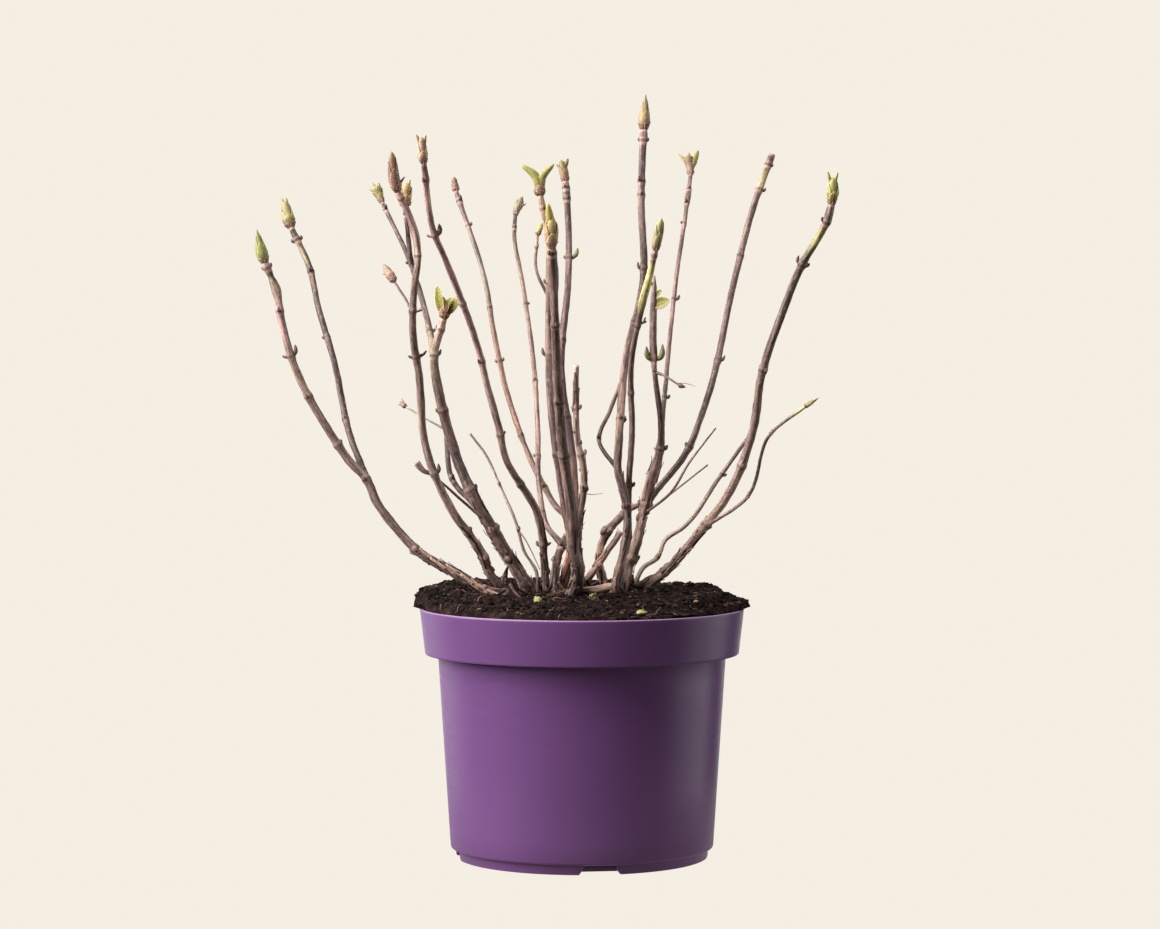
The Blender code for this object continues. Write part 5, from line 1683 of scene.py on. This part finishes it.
def peel(shape, name, curves, start, length, degrees, width, lift, tint, drift):
    """A strip of loose bark along a limb, with its ends lifted off."""
    rows, cols = 12, 3
    outer, inner, tints = [], [], []
    for u in even(rows):
        spot, out, up = surface_spot(name, curves, start + length * u, degrees + drift * u, 1.03)
        sideways = out.cross(up)
        rise = lift * ((max(0.0, u - 0.6) / 0.4) ** 2 + 0.5 * (max(0.0, 0.3 - u) / 0.3) ** 2)
        half = width / 2 * (0.35 + 0.65 * math.sin(math.pi * min(1.0, 0.1 + u * 0.85)))
        for j in range(cols + 1):
            v = 2 * j / cols - 1
            ragged = 1 + 0.25 * noise.noise(Vector((start + u * 5, v * 2, degrees)))
            centre = spot + sideways * half * v * ragged + out * (rise - 0.16 * half * v * v)
            outer.append(centre + out * 0.22)
            inner.append(centre - out * 0.12)
            tints.append(tint * (0.85 + 0.3 * noise.noise(Vector((u * 6, v * 2, start))) + 0.15 * u))
    add_sheet(shape, rows, cols, outer, inner, tints, inner_shade=0.7)


def make_peels(curves, crumb):
    """Loose strips of old bark on the thick feet, and the pale split underside of the far left stem."""
    draw = random.Random(PEEL_SEED)
    shape = Shape()
    for name, count, reach in PEELING:
        for _ in range(count):
            start = reach * draw.random() ** PEEL_CROWDING
            tint = TONE_COLOURS[draw.choice(PALE_PEELS if name in PALE_FEET else DARK_PEELS)]
            length, degrees = draw.uniform(*PEEL_LENGTHS), draw.uniform(0, 360)
            width, lift = draw.uniform(*PEEL_WIDTHS), draw.uniform(*PEEL_LIFTS)
            tint = tint * draw.uniform(*PEEL_SHADES)
            drift = draw.uniform(-PEEL_DRIFT, PEEL_DRIFT)
            peel(shape, name, curves, start, length, degrees, width, lift, tint, drift)
    for start, degrees, width in SPLIT_PEELS:
        tint = TONE_COLOURS["clay"]
        peel(shape, SPLIT_LIMB, curves, start, SPLIT_LENGTH, degrees, width, SPLIT_LIFT, tint, SPLIT_DRIFT)
    place(shape.build("bark_peels", crumb), "bark_pink")


def make_knots(curves, bark):
    """Knobby lumps of bark where old shoots were shed."""
    template, faces = lump_template(2)
    shape = Shape()
    knots = [(name, *row) for name, rows in KNOTS.items() for row in rows]
    for index, (name, distance, degrees, size, tone) in enumerate(knots):
        spot, out, up = surface_spot(name, curves, distance, degrees, 0.7)
        sideways = out.cross(up)
        points = []
        for p in template:
            rough = 1 + 0.35 * noise.noise(p * 1.6 + Vector((index * 3, 0, 0)))
            rough += 0.12 * noise.noise(p * 5 + Vector((0, index, 0)))
            offset = out * p.x * 0.9 + sideways * p.y * 0.9 + up * p.z * 1.2
            points.append(spot + offset * size * rough)
        tints = [TONE_COLOURS[tone] * (0.8 + 0.5 * abs(noise.noise(p * 3))) for p in template]
        plain = [0.0] * len(points)
        shape.add(points, faces, tints, grain=[tuple(p * size) for p in template], pale=plain, dark=plain)
    place(shape.build("bark_knots", bark), "bark_dark")


def make_hairs(curves, crumb):
    """Fine dry side twigs, thinner than the model's, each from a place on its limb."""
    shape = Shape()
    for name, distance, offsets, width in HAIRS:
        spot, _, _ = surface_spot(name, curves, distance, 0, 0.0)
        line = [spot, *(spot + Vector(offset) for offset in offsets)]
        strand(shape, line, (width, width * 0.45), TONE_COLOURS["umber"], 6)
    place(shape.build("hairs", crumb), "bark_dark")


def make_green_bits(skin):
    """Small green buds that break through the soil."""
    shape = Shape()
    stops = [tint * 0.62 for tint in TINT_COLOURS["fresh"]]
    for x, y, length, width, lean in GREEN_BITS:
        root = on_soil(x, y, -0.6)
        axis = leaning(lean, Vector((0, -0.3, 0)))
        line = [root, root + axis * length * 0.5, root + axis * length]
        profile = ((0, width * 0.3), (0.3, width * 0.5), (0.6, width * 0.4), (1, 0.3))
        core(shape, line, profile, stops, 0.05, 10)
        for facing in (-0.4, 1.7, 3.6):
            sepal(shape, line, profile, (0.0, 0.85), facing, 1.3, stops, flare=0.4, rows=10)
    place(shape.build("green_bits", skin), "bud_green")


# Studio


def make_lamp(name, azimuth, elevation, distance, size, power):
    """A soft lamp that faces the plant from so many degrees to the right of the front, and above."""
    turn, rise = math.radians(azimuth - 90), math.radians(elevation)
    spot = heading(turn) * distance * math.cos(rise) + UP * distance * math.sin(rise)
    lamp = bpy.data.lights.new(name, "AREA")
    lamp.shape = "RECTANGLE"
    lamp.size, lamp.size_y = size
    lamp.energy = power
    obj = add_object(name, lamp)
    obj.location = UP * AIM_HEIGHT + spot
    obj.rotation_euler = (-spot).to_track_quat("-Z", "Y").to_euler()
    obj.visible_camera = False


def make_floor():
    """A small round sheet that looks as bright as the backdrop, so that it doesn't show."""
    points = [(FLOOR_RADIUS * c, FLOOR_RADIUS * s, -FLOOR_BELOW) for c, s in circle(FLOOR_SIDES)]
    mesh = add_mesh("floor", points, [tuple(range(FLOOR_SIDES))])
    n = Nodes("floor")
    n.finish((0.0, 0.0, 0.0, 1.0), 1.0, Specular_IOR_Level=0.0)
    n.put(n.shader, "Emission Color", (*colour(CREAM), 1.0))
    strength = n.add("Math", {"operation": "MAXIMUM"})
    n.put(strength, 0, n.add("LightPath").outputs["Is Camera Ray"])
    n.put(strength, 1, FLOOR_GLOW)
    n.put(n.shader, "Emission Strength", strength)
    mesh.materials.append(n.material)
    add_object("floor", mesh)


def make_world():
    """Cream all round to the eye, but only dim light on the plant."""
    world = bpy.data.worlds.new("studio")
    world.use_nodes = True
    tree = world.node_tree
    background = tree.nodes["Background"]
    background.inputs["Color"].default_value = (*colour(CREAM), 1.0)
    seen = tree.nodes.new("ShaderNodeLightPath").outputs["Is Camera Ray"]
    strength = tree.nodes.new("ShaderNodeMix")
    strength.inputs["A"].default_value = AMBIENT
    strength.inputs["B"].default_value = 1.0
    tree.links.new(seen, strength.inputs["Factor"])
    tree.links.new(strength.outputs["Result"], background.inputs["Strength"])
    bpy.context.scene.world = world


def make_studio():
    bpy.context.scene.view_settings.view_transform = "Standard"
    make_world()
    make_floor()
    for lamp in LAMPS:
        make_lamp(*lamp)
    camera = bpy.data.cameras.new("camera")
    camera.lens = LENS
    camera.sensor_width = SENSOR
    obj = add_object("camera", camera)
    obj.location = CAMERA_PLACE
    obj.rotation_euler = (math.radians(90 - CAMERA_TILT), 0, 0)
    bpy.context.scene.camera = obj


def main():
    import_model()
    skin, crumb, bark = bud_material(), crumb_material(), bark_material()
    make_pot()
    make_soil()
    make_crumbs(crumb)
    make_fibres(crumb)
    make_roots(crumb)
    curves = make_limbs(bark)
    make_shoots(curves, skin)
    make_top_twig(bark, skin)
    make_spur(curves, bark)
    make_scraps(bark)
    make_side_growth(curves, skin, crumb)
    make_peels(curves, crumb)
    make_knots(curves, bark)
    make_hairs(curves, crumb)
    make_green_bits(skin)
    make_studio()


main()
